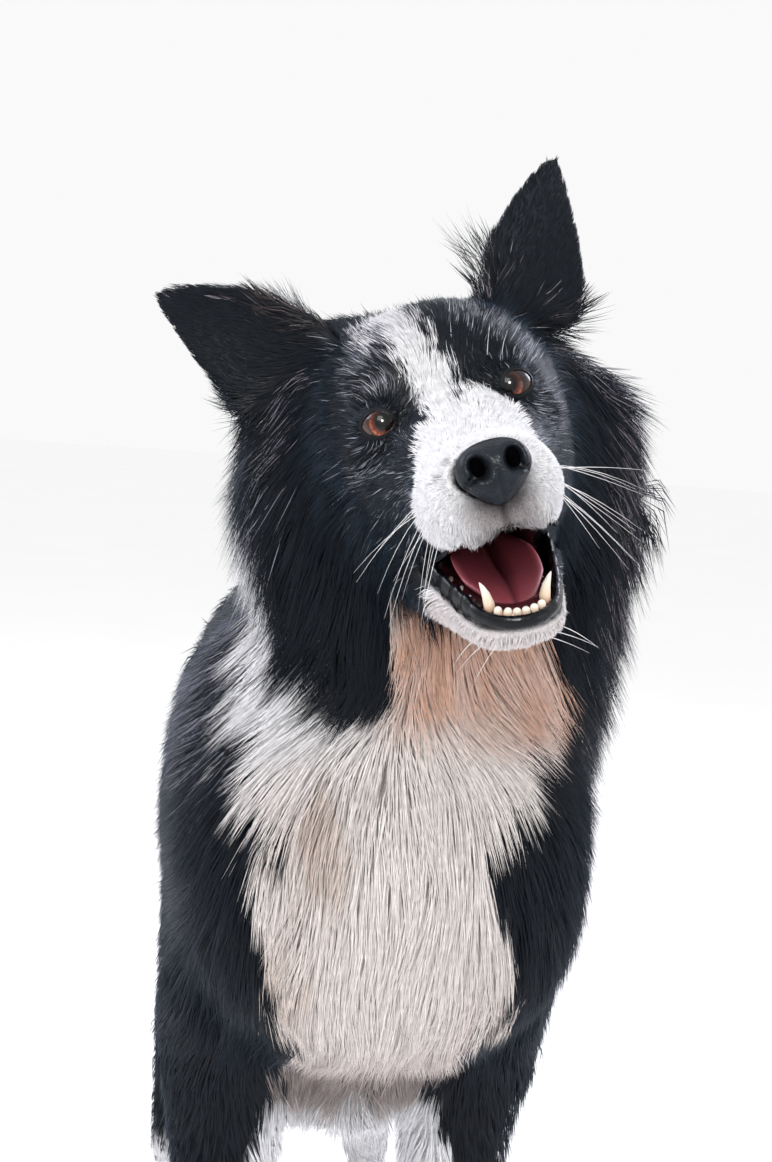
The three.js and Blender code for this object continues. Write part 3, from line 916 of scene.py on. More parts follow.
def mouth_walls(head, nodes):
    """Where the skin lines the mouth, and where it is the rim of a lip, from 0 to 1."""
    x, y, z = head.T / MM
    half = np.interp(y, (-100, -64, -24, 34), (17.0, 22.0, 24.0, 15.0))
    top = np.interp(y, (-100, -64, -24, 34), (-58.0, -55.0, -55.0, -58.0))
    along = smoothstep(-106, -102, y) * smoothstep(42, 36, y)
    lining = (smoothstep(half + 1.8, half + 0.4, np.abs(x))
              * smoothstep(top + 2, top - 1, z) * along)
    rim = smoothstep(-58, -66, z) * smoothstep(52, 36, y)
    on_head = of_node(nodes, "head", "lower_jaw")
    return lining * on_head, rim * on_head


def firmness(nodes, edges):
    """1 where the form is kept sharp, as on the head and the paws, and 0 under long coat."""
    sharp = ("head", "lower_jaw", "ear", "forepaw", "hind_foot")
    firm = np.array([float(node.startswith(sharp)) for node in FLESH])[nodes]
    return smoothed(firm[:, None], edges, 10)


def skin_mesh():
    """The union of the flesh, drawn in by the coat's depth, as one even surface."""
    mesh = voxel_remesh(flesh_mesh(), JOIN_VOXEL)
    points, edges, triangles = mesh_arrays(mesh)
    Skin.outline = closed_tree(points, triangles)
    nodes, fields = node_fields(points)
    lining, rim = mouth_walls(moved(TO_HEAD, points), nodes)
    firm = firmness(nodes, edges)
    for _ in range(FORM_ROUNDS):
        points = points + 0.5 * (1 - firm) * (neighbour_mean(points, edges) - points)
    points = smoothed(points, edges, 1, 0.35)
    fields = smoothed(fields, edges, FIELD_ROUNDS, 0.8)
    normals = point_normals(points, triangles)
    through = smoothed(thickness(points, normals, triangles)[:, None], edges, 12)[:, 0]
    depth = np.minimum(fields[:, DEPTH], DEPTH_OF_THICKNESS * through)
    on_ear = of_node(nodes, "ear_left", "ear_right")
    depth = np.where(on_ear, np.minimum(depth, EAR_DEPTH), depth)
    depth = smoothed(depth[:, None], edges, 3)[:, 0]
    depth = depth * (1 - rim) * (1 - lining) - MOUTH_CLEARANCE * lining
    for _ in range(INWARD_STEPS):
        normals = point_normals(points, triangles)
        points = points - normals * (depth / INWARD_STEPS)[:, None]
        points = points + (0.06 + 0.34 * (1 - firm)) * (neighbour_mean(points, edges) - points)
    mesh.vertices.foreach_set("co", points.ravel())
    mesh.update()
    return voxel_remesh(mesh, SKIN_VOXEL), points, nodes, fields


def thinned(mesh):
    """Fewer faces on the body, and all of them on the head and paws."""
    points = mesh_arrays(mesh)[0]
    head = moved(TO_HEAD, points) / MM
    on_face = (head[:, 1] < 45) & (head[:, 2] > -125) & (np.abs(head[:, 0]) < 75)
    on_paw = points[:, 2] < 0.045
    holder = link("thin", mesh)
    group = holder.vertex_groups.new(name="body")
    group.add(np.flatnonzero(~(on_face | on_paw)).tolist(), 1.0, "REPLACE")
    modifier = holder.modifiers.new("thin", "DECIMATE")
    modifier.ratio = BODY_SHARE_KEPT
    modifier.vertex_group = group.name
    return modified(holder)


def refined(mesh):
    """Finer faces round the eyes and the mouth."""
    bm = bmesh.new()
    bm.from_mesh(mesh)
    marks = [HEAD @ Vector((side * EYEBALL_X, -4 * MM, 0.0)) for side in (1, -1)]
    near = [edge for edge in bm.edges
            if any((edge.verts[0].co - mark).length < 19 * MM for mark in marks)]
    bmesh.ops.subdivide_edges(bm, edges=near, cuts=1, use_grid_fill=True)
    bmesh.ops.triangulate(bm, faces=[face for face in bm.faces if len(face.verts) > 4])
    bm.to_mesh(mesh)
    bm.free()
    return mesh


def press(head, at, radius, move):
    """Moves the skin near a point of the head's frame, as a thumb would."""
    head += nearness(head, at, radius)[:, None] * np.array(move) * MM


def sculpt_face(head):
    """Brows, stop, cheekbones, whisker pads and the furrow of the forehead."""
    press(head, (0, -4, 18), 10, (0, 1.6, -1.0))
    press(head, (0, 16, 50), 13, (0, 0.4, -1.6))
    for side in (1, -1):
        press(head, (side * 24, -4, 17), 10, (0, -2.6, 1.2))
        press(head, (side * 44, 14, -20), 14, (side * 2.2, -1.0, 0))
        press(head, (side * 21, -80, -52), 12, (side * 2.6, -1.5, -0.4))
        press(head, (side * 14, -40, -12), 12, (side * 1.0, 0, 1.2))
        press(head, (side * 30, -34, -30), 11, (side * -2.4, 0.8, 0))
    press(head, (0, -90, -36), 17, (0, -4.0, 0.5))
    press(head, (0, -95, -57), 12, (0, -2.5, -7.5))
    for side in (1, -1):
        press(head, (side * 15, -87, -62), 9, (side * 0.5, -1.5, -4.5))
        press(head, (side * 27, -70, -68), 10, (side * 0.8, -0.5, -2.5))
        press(head, (side * 8.7, -97, -38), 6, (0, 7.0, 0))
    press(head, (0, -98, -60), 3.5, (0, 2.2, 1.0))


# Long hair at the ears, in the head's frame: place, reach, length, lie, freedom, and the
# shares of brown and of pale hairs in it.
EAR_WISPS = (
    ((-54, 49, 76), 11, 30, (-0.35, 0.0, 0.95), 20, 0.75, 0.10),
    ((-68, 56, 84), 9, 20, (-0.6, 0.0, 0.8), 10, 0.60, 0.08),
    ((-86, 68, 95), 8, 13, (-0.9, 0.0, 0.4), 5, 0.15, 0.10),
    ((-108, 84, 106), 6, 11, (-1.0, 0.0, 0.1), 4, 0.0, 0.15),
    ((-64, 50, 38), 5, 18, (-0.8, -0.3, -0.1), 5, 0.0, 0.30),
    ((46, 50, 66), 11, 34, (-0.8, 0.0, 0.6), 24, 0.15, 0.10),
    ((38, 54, 60), 9, 46, (-0.7, 0.0, 0.8), 38, 0.10, 0.55),
    ((74, 66, 46), 5, 16, (0.7, -0.3, 0.35), 3, 0.05, 0.35),
    ((78, 66, 24), 13, 30, (0.9, -0.1, -0.2), 20, 0.05, 0.10),
    ((98, 74, 20), 13, 38, (1.0, 0.1, 0.1), 24, 0.05, 0.25),
    ((104, 84, -4), 14, 36, (1.0, 0.1, -0.1), 18, 0.05, 0.25),
    ((-82, 66, 18), 12, 26, (-0.9, 0.1, -0.5), 10, 0.05, 0.15),
)


def dress_face(fields, head):
    """Short hair that parts round the eyes, hair over the lip, and the ears' wisps."""
    turn = np.array(HEAD)[:3, :3]
    for side in (1, -1):
        _, ray, distance, facing, edge, _ = lid_measures(head, side)
        near = smoothstep(10 * MM, 2 * MM, edge) * (distance < 24 * MM) * (facing > 0)
        out = np.array(lid_axes(side)[2])
        away = unit(ray - out * facing[:, None]) @ turn.T
        fields[:, LENGTH] *= 1 - 0.55 * near
        fields[:, LIE] = unit(blended(fields[:, LIE], away, near))
    x, y, z = head.T / MM
    over_lip = smoothstep(-82, -88, y) * smoothstep(-50, -56, z) * (z > -76) * (np.abs(x) < 26)
    down = np.stack((x * 0.02, np.full(len(x), -0.2), np.full(len(x), -1.0)), axis=1) @ turn.T
    fields[:, LENGTH] += 3.5 * MM * over_lip
    fields[:, STAND] += 0.8 * over_lip
    fields[:, FREE] += 1.5 * MM * over_lip * smoothstep(-60, -66, z)
    fields[:, LIE] = unit(blended(fields[:, LIE], down, over_lip))
    for place, reach, length, lie, free, *_ in EAR_WISPS:
        near = nearness(head, place, reach)
        fields[:, LIE] = unit(blended(fields[:, LIE], turn @ unit(np.array(lie)), near))
        fields[:, LENGTH] = fields[:, LENGTH] * (1 - near) + length * MM * near
        fields[:, STAND] += 0.6 * near
        fields[:, FREE] += free * MM * near


def lid_measures(head, side):
    """Direction of each point from the eyeball, as places on the opening and its distance."""
    centre = np.array((side * EYEBALL_X, EYEBALL_Y, 0.0))
    across, up, out = (np.array(axis) for axis in lid_axes(side))
    away = head - centre
    distance = np.linalg.norm(away, axis=1)
    ray = away / distance[:, None]
    u = ray @ across * EYEBALL_RADIUS
    v = ray @ up * EYEBALL_RADIUS
    half_height = LID_HALF_HEIGHT * np.where(v > 0, 1.0, 0.86)
    over = np.abs(u) - LID_HALF_WIDTH
    open_here = half_height * lid_height(np.clip(u / LID_HALF_WIDTH, -1, 1))
    edge = np.where(over > 0, np.hypot(over, v), np.abs(v) - open_here)
    return centre, ray, distance, ray @ out, edge, v


def sculpt_lids(head, edges, side):
    """Lays the skin over the eyeball, with an almond opening, and lets it settle round it."""
    centre, ray, distance, facing, edge, v = lid_measures(head, side)
    near = (facing > 0.1) & (distance < 30 * MM)
    inside = edge < -0.3 * MM
    lid = EYEBALL_RADIUS + LID_THICKNESS * smoothstep(-0.6 * MM, 1.0 * MM, edge)
    blend = smoothstep(3.0 * MM, 9.0 * MM, edge)
    target = np.where(inside, EYEBALL_RADIUS - 1.2 * MM, lid * (1 - blend) + distance * blend)
    head[near] = (centre + ray * target[:, None])[near]
    free = near & (edge > 1.6 * MM) & (edge < 17 * MM)
    for _ in range(14):
        settled = head + 0.5 * (neighbour_mean(head, edges) - head)
        away = settled[free] - centre
        length = np.linalg.norm(away, axis=1)
        least = EYEBALL_RADIUS + 0.8 * MM
        head[free] = centre + away * (np.maximum(length, least) / length)[:, None]
    crease = np.exp(-(((edge - 4.4 * MM) / (1.0 * MM)) ** 2)) * np.where(v > 0, 0.8, 0.5) * MM
    head[free] -= (ray * crease[:, None])[free]


def nose_bed(head):
    """Where the nose leather sits on the head, from 0 to 1."""
    x, y, z = head.T / MM
    rise = z - NOSE_LEVEL
    low = np.clip(-rise / NOSE_BELOW, 0, 1)
    wide = (NOSE_HALF_WIDTH + 1.0) * (1 - 0.46 * low ** 1.6)
    out = np.hypot(x / wide, rise / np.where(rise > 0, NOSE_ABOVE, NOSE_BELOW))
    return smoothstep(1.04, 0.94, out) * (y < -80)


def mouth_masks(points, normals, on_jaw):
    """Inside of the mouth, and the band of bare lip round it, from 0 to 1."""
    x, y, z = moved(TO_HEAD, points).T / MM
    facing = turned(TO_HEAD, normals)
    half = np.interp(y, (-100, -64, -24, 34, 44), (16.0, 21.5, 23.5, 17, 8))
    within = np.maximum(-facing[:, 2], -np.sign(x) * facing[:, 0])
    inside = smoothstep(half + 2.0, half + 0.4, np.abs(x)) * smoothstep(-53.5, -55.5, z)
    inside *= smoothstep(-88, -84, y) * smoothstep(46, 40, y) * smoothstep(-0.1, 0.3, within)
    under = smoothstep(0.5, 0.9, -facing[:, 2]) * smoothstep(-62, -66, z) * smoothstep(30, 20, y)
    under *= smoothstep(-86, -80, y)
    x, y, z = moved(TO_JAW, points).T / MM
    up = turned(TO_JAW, normals)[:, 2]
    half = np.interp(y, (-90, -76, -45, 0, 40), (11.0, 15.0, 21.5, 29.0, 20.0))
    floor = smoothstep(half, half - 2, np.abs(x)) * smoothstep(0.1, 0.5, up) * (z > -80)
    floor *= smoothstep(-88, -84, y) * smoothstep(40, 34, y)
    line = np.interp(y, (-90, -77, -62, -42, -16, 8), (-70.2, -68.5, -66.5, -64.5, -61.5, -59.5))
    line = line - np.interp(y, (-90, -60), (5.0, 7.0))
    lip = smoothstep(line - 2, line + 1, z) * smoothstep(26, 16, y)
    return np.where(on_jaw, floor, inside), np.where(on_jaw, lip, under)


def unwrapped(piece):
    """A UV map of the skin by its own shape."""
    layer = piece.data.uv_layers.new(name="OFBake")
    piece.data.uv_layers.active = layer
    bpy.context.view_layer.objects.active = piece
    piece.select_set(True)
    bpy.ops.object.mode_set(mode="EDIT")
    bpy.ops.mesh.select_all(action="SELECT")
    bpy.ops.uv.smart_project(angle_limit=math.radians(60), island_margin=0.002)
    bpy.ops.object.mode_set(mode="OBJECT")
    piece.select_set(False)


def corner_uvs(mesh):
    """For each triangle, the UV of its three corners."""
    mesh.calc_loop_triangles()
    loops = np.empty(len(mesh.loop_triangles) * 3, np.int64)
    mesh.loop_triangles.foreach_get("loops", loops)
    uvs = np.empty(len(mesh.loops) * 2)
    mesh.uv_layers["OFBake"].uv.foreach_get("vector", uvs)
    return uvs.reshape(-1, 2)[loops].reshape(-1, 3, 2)


# ---------------------------------------------------------------- markings

# Edges of the white bib, as levels and the places of its two sides.
BIB_LEVELS = (0.262, 0.276, 0.300, 0.340, 0.390, 0.430, 0.470, 0.509, 0.545, 0.600)
BIB_RIGHT = (-0.012, -0.022, -0.040, -0.067, -0.070, -0.074, -0.086, -0.086, -0.084, -0.084)
BIB_LEFT = (0.010, 0.018, 0.038, 0.057, 0.050, 0.041, 0.065, 0.091, 0.066, 0.050)
# The black lobe of the ruff that hangs over the bib.
LOBE_LEVELS = (0.492, 0.508, 0.536, 0.578, 0.620)
LOBE_OUTER = (-0.048, -0.064, -0.073, -0.088, -0.100)
LOBE_INNER = (-0.025, -0.014, -0.011, -0.013, -0.005)
# Stains of the bib: across, level, reach across and share. Spots of the muzzle: place, reach.
BIB_STAINS = (
    (-0.050, 0.435, 0.016, 1.0), (-0.062, 0.355, 0.018, 0.8), (0.050, 0.350, 0.020, 0.5))
MUZZLE_SPOTS = (((-19, -84, -27), 2.6), ((-25, -84, -35), 2.0))
# Colours of hair that only some places have, and colours of painted shade and painted rim light on
# the coat.
FADED_WHITE = (0.40, 0.38, 0.44)
# Painted shade: a dull brown that light hair low on the chest is drawn toward.
LOW_CHEST_SHADE_COLOUR = (0.36, 0.27, 0.24)
# Painted shadow under the chest, between the forelegs.
SHADED_WHITE = (0.17, 0.135, 0.13)
CHIN_WHITE = (0.60, 0.50, 0.46)
# Pale tips of black hair: partly real pale guard hairs, partly painted rim light.
COOL_FRINGE_AND_RIM_LIGHT = (0.33, 0.33, 0.40)
WARM_FRINGE_AND_RIM_LIGHT = (0.30, 0.26, 0.29)
PALE_WISP = (0.34, 0.31, 0.35)
BARE_SKIN = (0.006, 0.007, 0.009)


def body_white(points):
    """How white the body is, from 0 to 1."""
    x, y, z = points.T
    rough = 7 * MM * wobble(points, 0.035, 11) + 3 * MM * wobble(points, 0.012, 12)
    soft = 4 * MM
    right = np.interp(z, BIB_LEVELS, BIB_RIGHT) + rough
    left = np.interp(z, BIB_LEVELS, BIB_LEFT) + rough
    bib = smoothstep(right - soft, right + soft, x) * smoothstep(left + soft, left - soft, x)
    bib *= smoothstep(0.258, 0.268, z) * smoothstep(0.66, 0.60, z)
    front = np.interp(z, (0.46, 0.50), (-0.205, -0.230))
    bib *= smoothstep(front + 15 * MM, front - 15 * MM, y)
    outer = np.interp(z, LOBE_LEVELS, LOBE_OUTER) + rough
    inner = np.interp(z, LOBE_LEVELS, LOBE_INNER) + rough
    lobe = smoothstep(outer - soft, outer + soft, x) * smoothstep(inner + soft, inner - soft, x)
    bib *= 1 - lobe * smoothstep(0.486, 0.500, z + rough)
    middle_z = np.interp(y, (-0.30, -0.20, -0.10), (0.515, 0.605, 0.625))
    half = np.interp(x, (-0.07, -0.04, -0.01, 0.02), (0.026, 0.022, 0.010, -0.006)) + 0.5 * rough
    collar = smoothstep(half + soft, half - soft, np.abs(z - middle_z)) * (y > -0.29)
    collar *= smoothstep(0.03, -0.02, x) * smoothstep(0.03, -0.05, y)
    collar *= smoothstep(-0.262, -0.238, y) * smoothstep(-0.092, -0.082, x)
    belly = smoothstep(0.050, 0.030, np.abs(x - 0.01) + rough) * smoothstep(0.16, 0.05, y)
    belly *= smoothstep(0.33, 0.31, z) * (z > 0.26)
    keel = smoothstep(0.292, 0.280, z) * smoothstep(0.046, 0.036, np.abs(x + 0.002) + rough)
    keel *= (z > 0.2) * smoothstep(-0.05, -0.10, y)
    white = np.maximum.reduce((bib, collar, belly, keel))
    fore = y < 0.0
    inner_leg = smoothstep(0.075, 0.045, np.abs(x - 0.006))
    sock = np.where(fore, 0.165 + 0.090 * inner_leg, np.where(x > 0.03, 0.105, 0.032))
    legs = smoothstep(sock + 6 * MM, sock - 6 * MM, z + 1.6 * rough)
    on_tail = y > 0.30
    tip = smoothstep(0.245, 0.225, z + 2 * rough)
    return np.where(on_tail, tip, np.maximum(white, legs * (y < 0.30)))


def face_white(head):
    """How white the head is: muzzle, blaze and chin."""
    x, y, z = head.T / MM
    rough = 2.0 * wobble(head, 0.012, 21) + 0.8 * wobble(head, 0.004, 22)
    edge = np.interp(z, (-70, -64, -50, -31, -12, 0, 12), (-22, -26, -34, -40, -27, -19, -8))
    edge = edge + np.where(x > 0, 12.0 * smoothstep(0, 25, x), 0.0)
    top = np.interp(x, (-40, -26, -14, -5, 1, 14, 21, 30, 47),
                    (-16, -12, -3, 3, 12, 8, 1, -8, -14))
    muzzle = smoothstep(edge + 2.5, edge - 2.5, y + rough)
    muzzle *= smoothstep(top + 2.5, top - 2.5, z + rough)
    middle_x = np.interp(z, (5, 14, 27, 40, 55, 70), (-4, -5, -7.5, -10.5, -12.5, -15))
    half = np.interp(z, (5, 14, 27, 45, 60, 75), (9.5, 9.5, 9, 8.5, 9, 10))
    up = smoothstep(-14, -4, z) * smoothstep(78, 60, z) * smoothstep(70, 45, y)
    blaze = 0.9 * smoothstep(half + 7, half - 5, np.abs(x - middle_x) + rough) * up
    streaks = smoothstep(-38, -30, x) * smoothstep(-12, -18, x) * smoothstep(30, 44, z)
    streaks = (0.52 * streaks + 0.36 * smoothstep(6, 1, np.abs(x - middle_x - 13))) * up
    blaze = np.maximum(blaze, np.clip(streaks * (1 + 0.3 * wobble(head, 0.015, 23)), 0, 0.8))
    chin = smoothstep(6, -8, y + 2 * rough) * smoothstep(-80, -86, z)
    return np.maximum.reduce((muzzle, blaze, chin))


# Patches of grey hairs on the head: place, reach and share, in the head's frame in millimetres.
GREY_PATCHES = (
    ((-34, 0, 20), (14, 20, 4.5), 0.50), ((-30, 22, 44), (14, 22, 14), 0.55),
    ((6, 40, 66), (16, 16, 9), 0.40), ((30, 20, 40), (10, 20, 14), 0.30),
    ((-47, 0, -20), (8, 20, 6), 0.35), ((-33, -30, -36), (7, 14, 9), 0.35),
    ((50, 5, 14), (9, 18, 7), 0.55), ((47, 0, -15), (8, 18, 7), 0.50),
    ((40, -20, -28), (6, 14, 10), 0.45), ((-42, 0, -7), (9, 18, 3.5), 0.30),
)


def grey_share(head):
    """The share of grey hairs among the black ones of the head."""
    x, y, z = head.T / MM
    share = 0.04 * smoothstep(60, 10, y)
    for place, reach, most in GREY_PATCHES:
        share = share + most * nearness(head, place, reach)
    along = np.clip((66 - z) / 48, 0, 1)
    band = (np.exp(-(((x - 12 - 42 * along) / 7) ** 2))
            * smoothstep(12, 20, z) * smoothstep(78, 66, z))
    share = share + 0.60 * band * smoothstep(60, 40, y)
    patch = 0.35 * wobble(head, 0.022, 31)
    return np.clip(share * (1 + patch), 0, 0.8) * smoothstep(70, 40, y)


def light_hair(points, head, on_head, colours):
    """Light hair: cream, or pure white on the head, the legs and, as painted light, the chest's
    lit side; tan at the throat, stained on the bib, with painted shade low on the chest and
    painted shadow under it.
    """
    x, y, z = points.T
    # Pure white on the head and legs; on the dog's right side of the upper chest and neck the
    # white is painted light on the lit side, against the cream of the rest.
    white_and_lit_side = smoothstep(0.0, -0.07, x) * smoothstep(0.42, 0.50, z) + on_head + (z < 0.25)
    light = np.tile(np.array(colours.cream), (len(points), 1))
    light = blended(light, colours.white, np.clip(white_and_lit_side, 0, 1))
    warm = smoothstep(0.62, 0.57, z) * smoothstep(0.470, 0.52, z)
    warm *= smoothstep(-0.03, 0.0, x) * smoothstep(-0.27, -0.30, y)
    warm = np.clip(warm * (0.95 + 0.30 * wobble(points, 0.03, 41)), 0, 1)
    stain = 0.25 * smoothstep(0.36, 0.30, z) * (z > 0.26)
    for at_x, at_z, reach, most in BIB_STAINS:
        stain = stain + most * np.exp(-(((x - at_x) / reach) ** 2) - ((z - at_z) / 0.030) ** 2)
    stain = np.clip(stain * (0.8 + 0.4 * wobble(points, 0.02, 42)), 0, 0.9)
    on_bib = (z > 0.27) & (y < -0.2) & ~on_head
    light = blended(light, colours.tan, warm * on_bib)
    light = blended(light, colours.beige, stain * on_bib)
    faded = 0.35 * smoothstep(18 * MM, 60 * MM, head[:, 2]) * on_head
    light = blended(light, FADED_WHITE, faded)
    # Painted shade: light hair drawn darker toward the bottom of the chest.
    low_chest_shade = 0.42 * smoothstep(0.335, 0.285, z) * (y < -0.2) * (z > 0.25)
    light = blended(light, LOW_CHEST_SHADE_COLOUR, low_chest_shade)
    # Painted shadow: light hair darkened in a band under the chest.
    under = np.exp(-(((z - 0.266) / 0.022) ** 2)) * (np.abs(x) < 0.06) * (y < -0.1) * (y > -0.31)
    return blended(light, SHADED_WHITE, 0.8 * under)


def black_hair(points, head, on_head, colours, rng):
    """Black hair, with the grey of the face, pale outer hairs that are partly painted rim light,
    and the ears' wisps.
    """
    count = len(points)
    x, y, z = points.T
    odd = rng.uniform(size=count) < grey_share(head) * on_head
    mix = rng.uniform(0.0, 1.0, count)[:, None]
    grey = np.array(colours.grey) * (0.3 + 1.4 * mix ** 2)
    black = np.where(odd[:, None], grey, np.array(colours.black))
    black = black * rng.uniform(0.65, 1.35, count)[:, None]
    # At the ruff's sides the pale hairs are partly real tips and partly painted rim light; over
    # the dog's right shoulder they are painted rim light.
    ruff = smoothstep(0.078, 0.110, np.abs(x - 0.012)) * smoothstep(0.44, 0.50, z) * (y < 0.0)
    hump = smoothstep(-0.055, -0.085, x) * smoothstep(0.42, 0.47, z) * smoothstep(0.03, -0.09, y)
    hump *= smoothstep(-0.27, -0.21, y)
    fringe = rng.uniform(size=count) < np.maximum(0.20 * ruff * (z < 0.70), 0.36 * hump)
    pale = np.where((x < 0)[:, None], np.array(COOL_FRINGE_AND_RIM_LIGHT), np.array(WARM_FRINGE_AND_RIM_LIGHT))
    black = np.where((fringe & ~on_head)[:, None], pale * (0.35 + 0.65 * mix), black)
    draw = rng.uniform(size=count)
    for place, reach, _, _, _, brown, bright in EAR_WISPS:
        near = nearness(head, place, 1.1 * reach)
        is_pale = (draw < bright * near)[:, None]
        is_wisp = (draw < (brown + bright) * near)[:, None]
        hair = np.where(is_pale, np.array(PALE_WISP), np.array(colours.brown))
        black = np.where(is_wisp, hair * (0.25 + 1.1 * mix ** 2), black)
    return black


def face_stains(light, head, on_head, colours, lip_share):
    """Darkens light hair between nose and lip, at the lip's groove, the chin and two spots."""
    x, y, z = head.T / MM
    brown = np.array(colours.brown)
    lip = np.exp(-((x / 20) ** 4) - ((z + 60) / 13) ** 4) * smoothstep(-60, -72, y) * on_head
    light = blended(light, brown, 0.97 * lip * lip_share)
    groove = np.exp(-((x / 1.8) ** 2)) * smoothstep(-52, -55, z) * smoothstep(-72, -68, z)
    light = blended(light, 0.4 * brown, 0.9 * groove * smoothstep(-78, -86, y) * on_head)
    light = blended(light, CHIN_WHITE, 0.5 * smoothstep(-84, -92, z) * on_head)
    for place, reach in MUZZLE_SPOTS:
        light = light * (1 - 0.85 * nearness(head, place, reach))[:, None]
    return light


def tints(points, rng, colours, speckle=True):
    """The coat's colour at each point, with painted shade on the chest and, where speckled, the
    odd grey or dark hair and painted rim light.
    """
    count = len(points)
    head = moved(TO_HEAD, points)
    on_head = of_node(Skin.node_at(points), "head", "lower_jaw", "ear_left", "ear_right")
    white = np.where(on_head, face_white(head), body_white(points))
    light = light_hair(points, head, on_head, colours)
    if speckle:
        white = (white > rng.uniform(0.15, 0.85, count)).astype(float)
        black = black_hair(points, head, on_head, colours, rng)
        light = light * rng.uniform(0.86, 1.08, count)[:, None]
        lip_share = rng.uniform(0.72, 1.0, count)
    else:
        black = np.tile(np.array(colours.black), (count, 1))
        lip_share = 0.9
    light = face_stains(light, head, on_head, colours, lip_share)
    return np.clip(blended(black, light, white), 0, 1), white


# ---------------------------------------------------------------- the coat

# Pieces of coat: the regions each grows on, its tufts, the rings of a tuft, and its locks' size.
COAT_PIECES = {
    "coat_face": (("head",), 35000, 1, 3.2),
    "coat_crown": (("crown",), 15000, 1, 5.0),
    "coat_jaw": (("lower_jaw",), 7000, 1, 3.0),
    "coat_ears": (("ear_left", "ear_right"), 11500, 1, 4.0),
    "coat_ruff": (("neck",), 34500, 1, 9.0),
    "coat_throat": (("throat",), 16000, 1, 6.5),
    "coat_breast": (("chest",), 36500, 1, 8.0),
    "coat_barrel": (("barrel",), 9500, 2, 14.0),
    "coat_rump": (("rump",), 7500, 2, 14.0),
    "coat_thighs": (("thigh_left", "thigh_right"), 6500, 2, 13.0),
    "coat_shoulders": (("shoulder_left", "shoulder_right"), 7000, 2, 11.0),
    "coat_forelegs": (("forearm_left", "forearm_right", "forepaw_left", "forepaw_right"),
                      11000, 1, 5.0),
    "coat_hindlegs": (("shank_left", "shank_right", "hind_foot_left", "hind_foot_right"),
                      9500, 1, 5.0),
    "coat_tail": (("tail_root", "tail_plume"), 6500, 2, 13.0),
}


def sample_roots(regions, count, rng):
    """Random places on the skin of these regions: triangles and shares of their corners."""
    wanted = np.isin(Skin.region, [REGIONS.index(region) for region in regions])
    corners = Skin.triangles
    chosen = np.flatnonzero(wanted[corners].sum(axis=1) >= 2)
    a, b, c = (Skin.points[corners[chosen, i]] for i in range(3))
    area = np.linalg.norm(np.cross(b - a, c - a), axis=1)
    area *= Skin.fields["growth"][corners[chosen]].min(axis=1)
    picks = chosen[np.searchsorted(np.cumsum(area) / area.sum(), rng.uniform(size=count))]
    u, v = rng.uniform(size=(2, count))
    flip = u + v > 1
    u, v = np.where(flip, 1 - u, u), np.where(flip, 1 - v, v)
    return picks, np.stack((1 - u - v, u, v), axis=1)


def at_roots(values, picks, shares):
    """The skin's values at the tufts' roots."""
    corners = values[Skin.triangles[picks]]
    weights = shares if corners.ndim == 2 else shares[..., None]
    return np.sum(corners * weights, axis=1)


def walk(base, normal, lie, depth, length, bend, free, marks):
    """Follows the lie of the coat over the skin: places, normals and depths at each mark."""
    first = normal
    steps = [(base, normal, depth)]
    for before, after in zip(marks, marks[1:]):
        lie = unit(lie - normal * dot(lie, normal)[:, None])
        ahead = unit(lie + np.cross(normal, lie) * bend[:, None])
        reach = length * (after - before)
        beyond = base + ahead * reach[:, None]
        found = [Skin.tree.find_nearest(Vector(place)) for place in beyond]
        place = np.array([hit[0] for hit in found])
        index = np.array([hit[2] for hit in found])
        turn = unit(Skin.flat["normals"][index])
        off = np.linalg.norm(place - beyond, axis=1)
        hangs = (dot(turn, first) < -0.1) | (off > 0.45 * reach + 1.5 * MM) | (free > 6 * MM)
        hangs = hangs[:, None]
        base = np.where(hangs, beyond, place)
        normal = np.where(hangs, normal, turn)
        lie = np.where(hangs, ahead, Skin.flat["lie"][index])
        depth = np.where(hangs[:, 0], depth, Skin.flat["depth"][index])
        steps.append((base, normal, depth))
    return steps


def in_locks(path, spacing, share, marks, rng):
    """Draws neighbouring tufts together toward their tips, as locks."""
    roots = path[:, 0]
    count = len(roots)
    guides = rng.choice(count, max(count // TUFTS_IN_LOCK, 1), replace=False)
    tree = point_tree(roots[guides])
    nearest = [tree.find(root) for root in roots]
    guide = guides[[hit[1] for hit in nearest]]
    far = np.array([hit[2] for hit in nearest])
    pull = share * rng.uniform(0.55, 1.0, count) * smoothstep(2.2 * spacing, spacing, far)
    for k, mark in enumerate(marks):
        path[:, k] += (path[guide, k] - path[:, k]) * (pull * mark ** 1.4)[:, None]
    return path


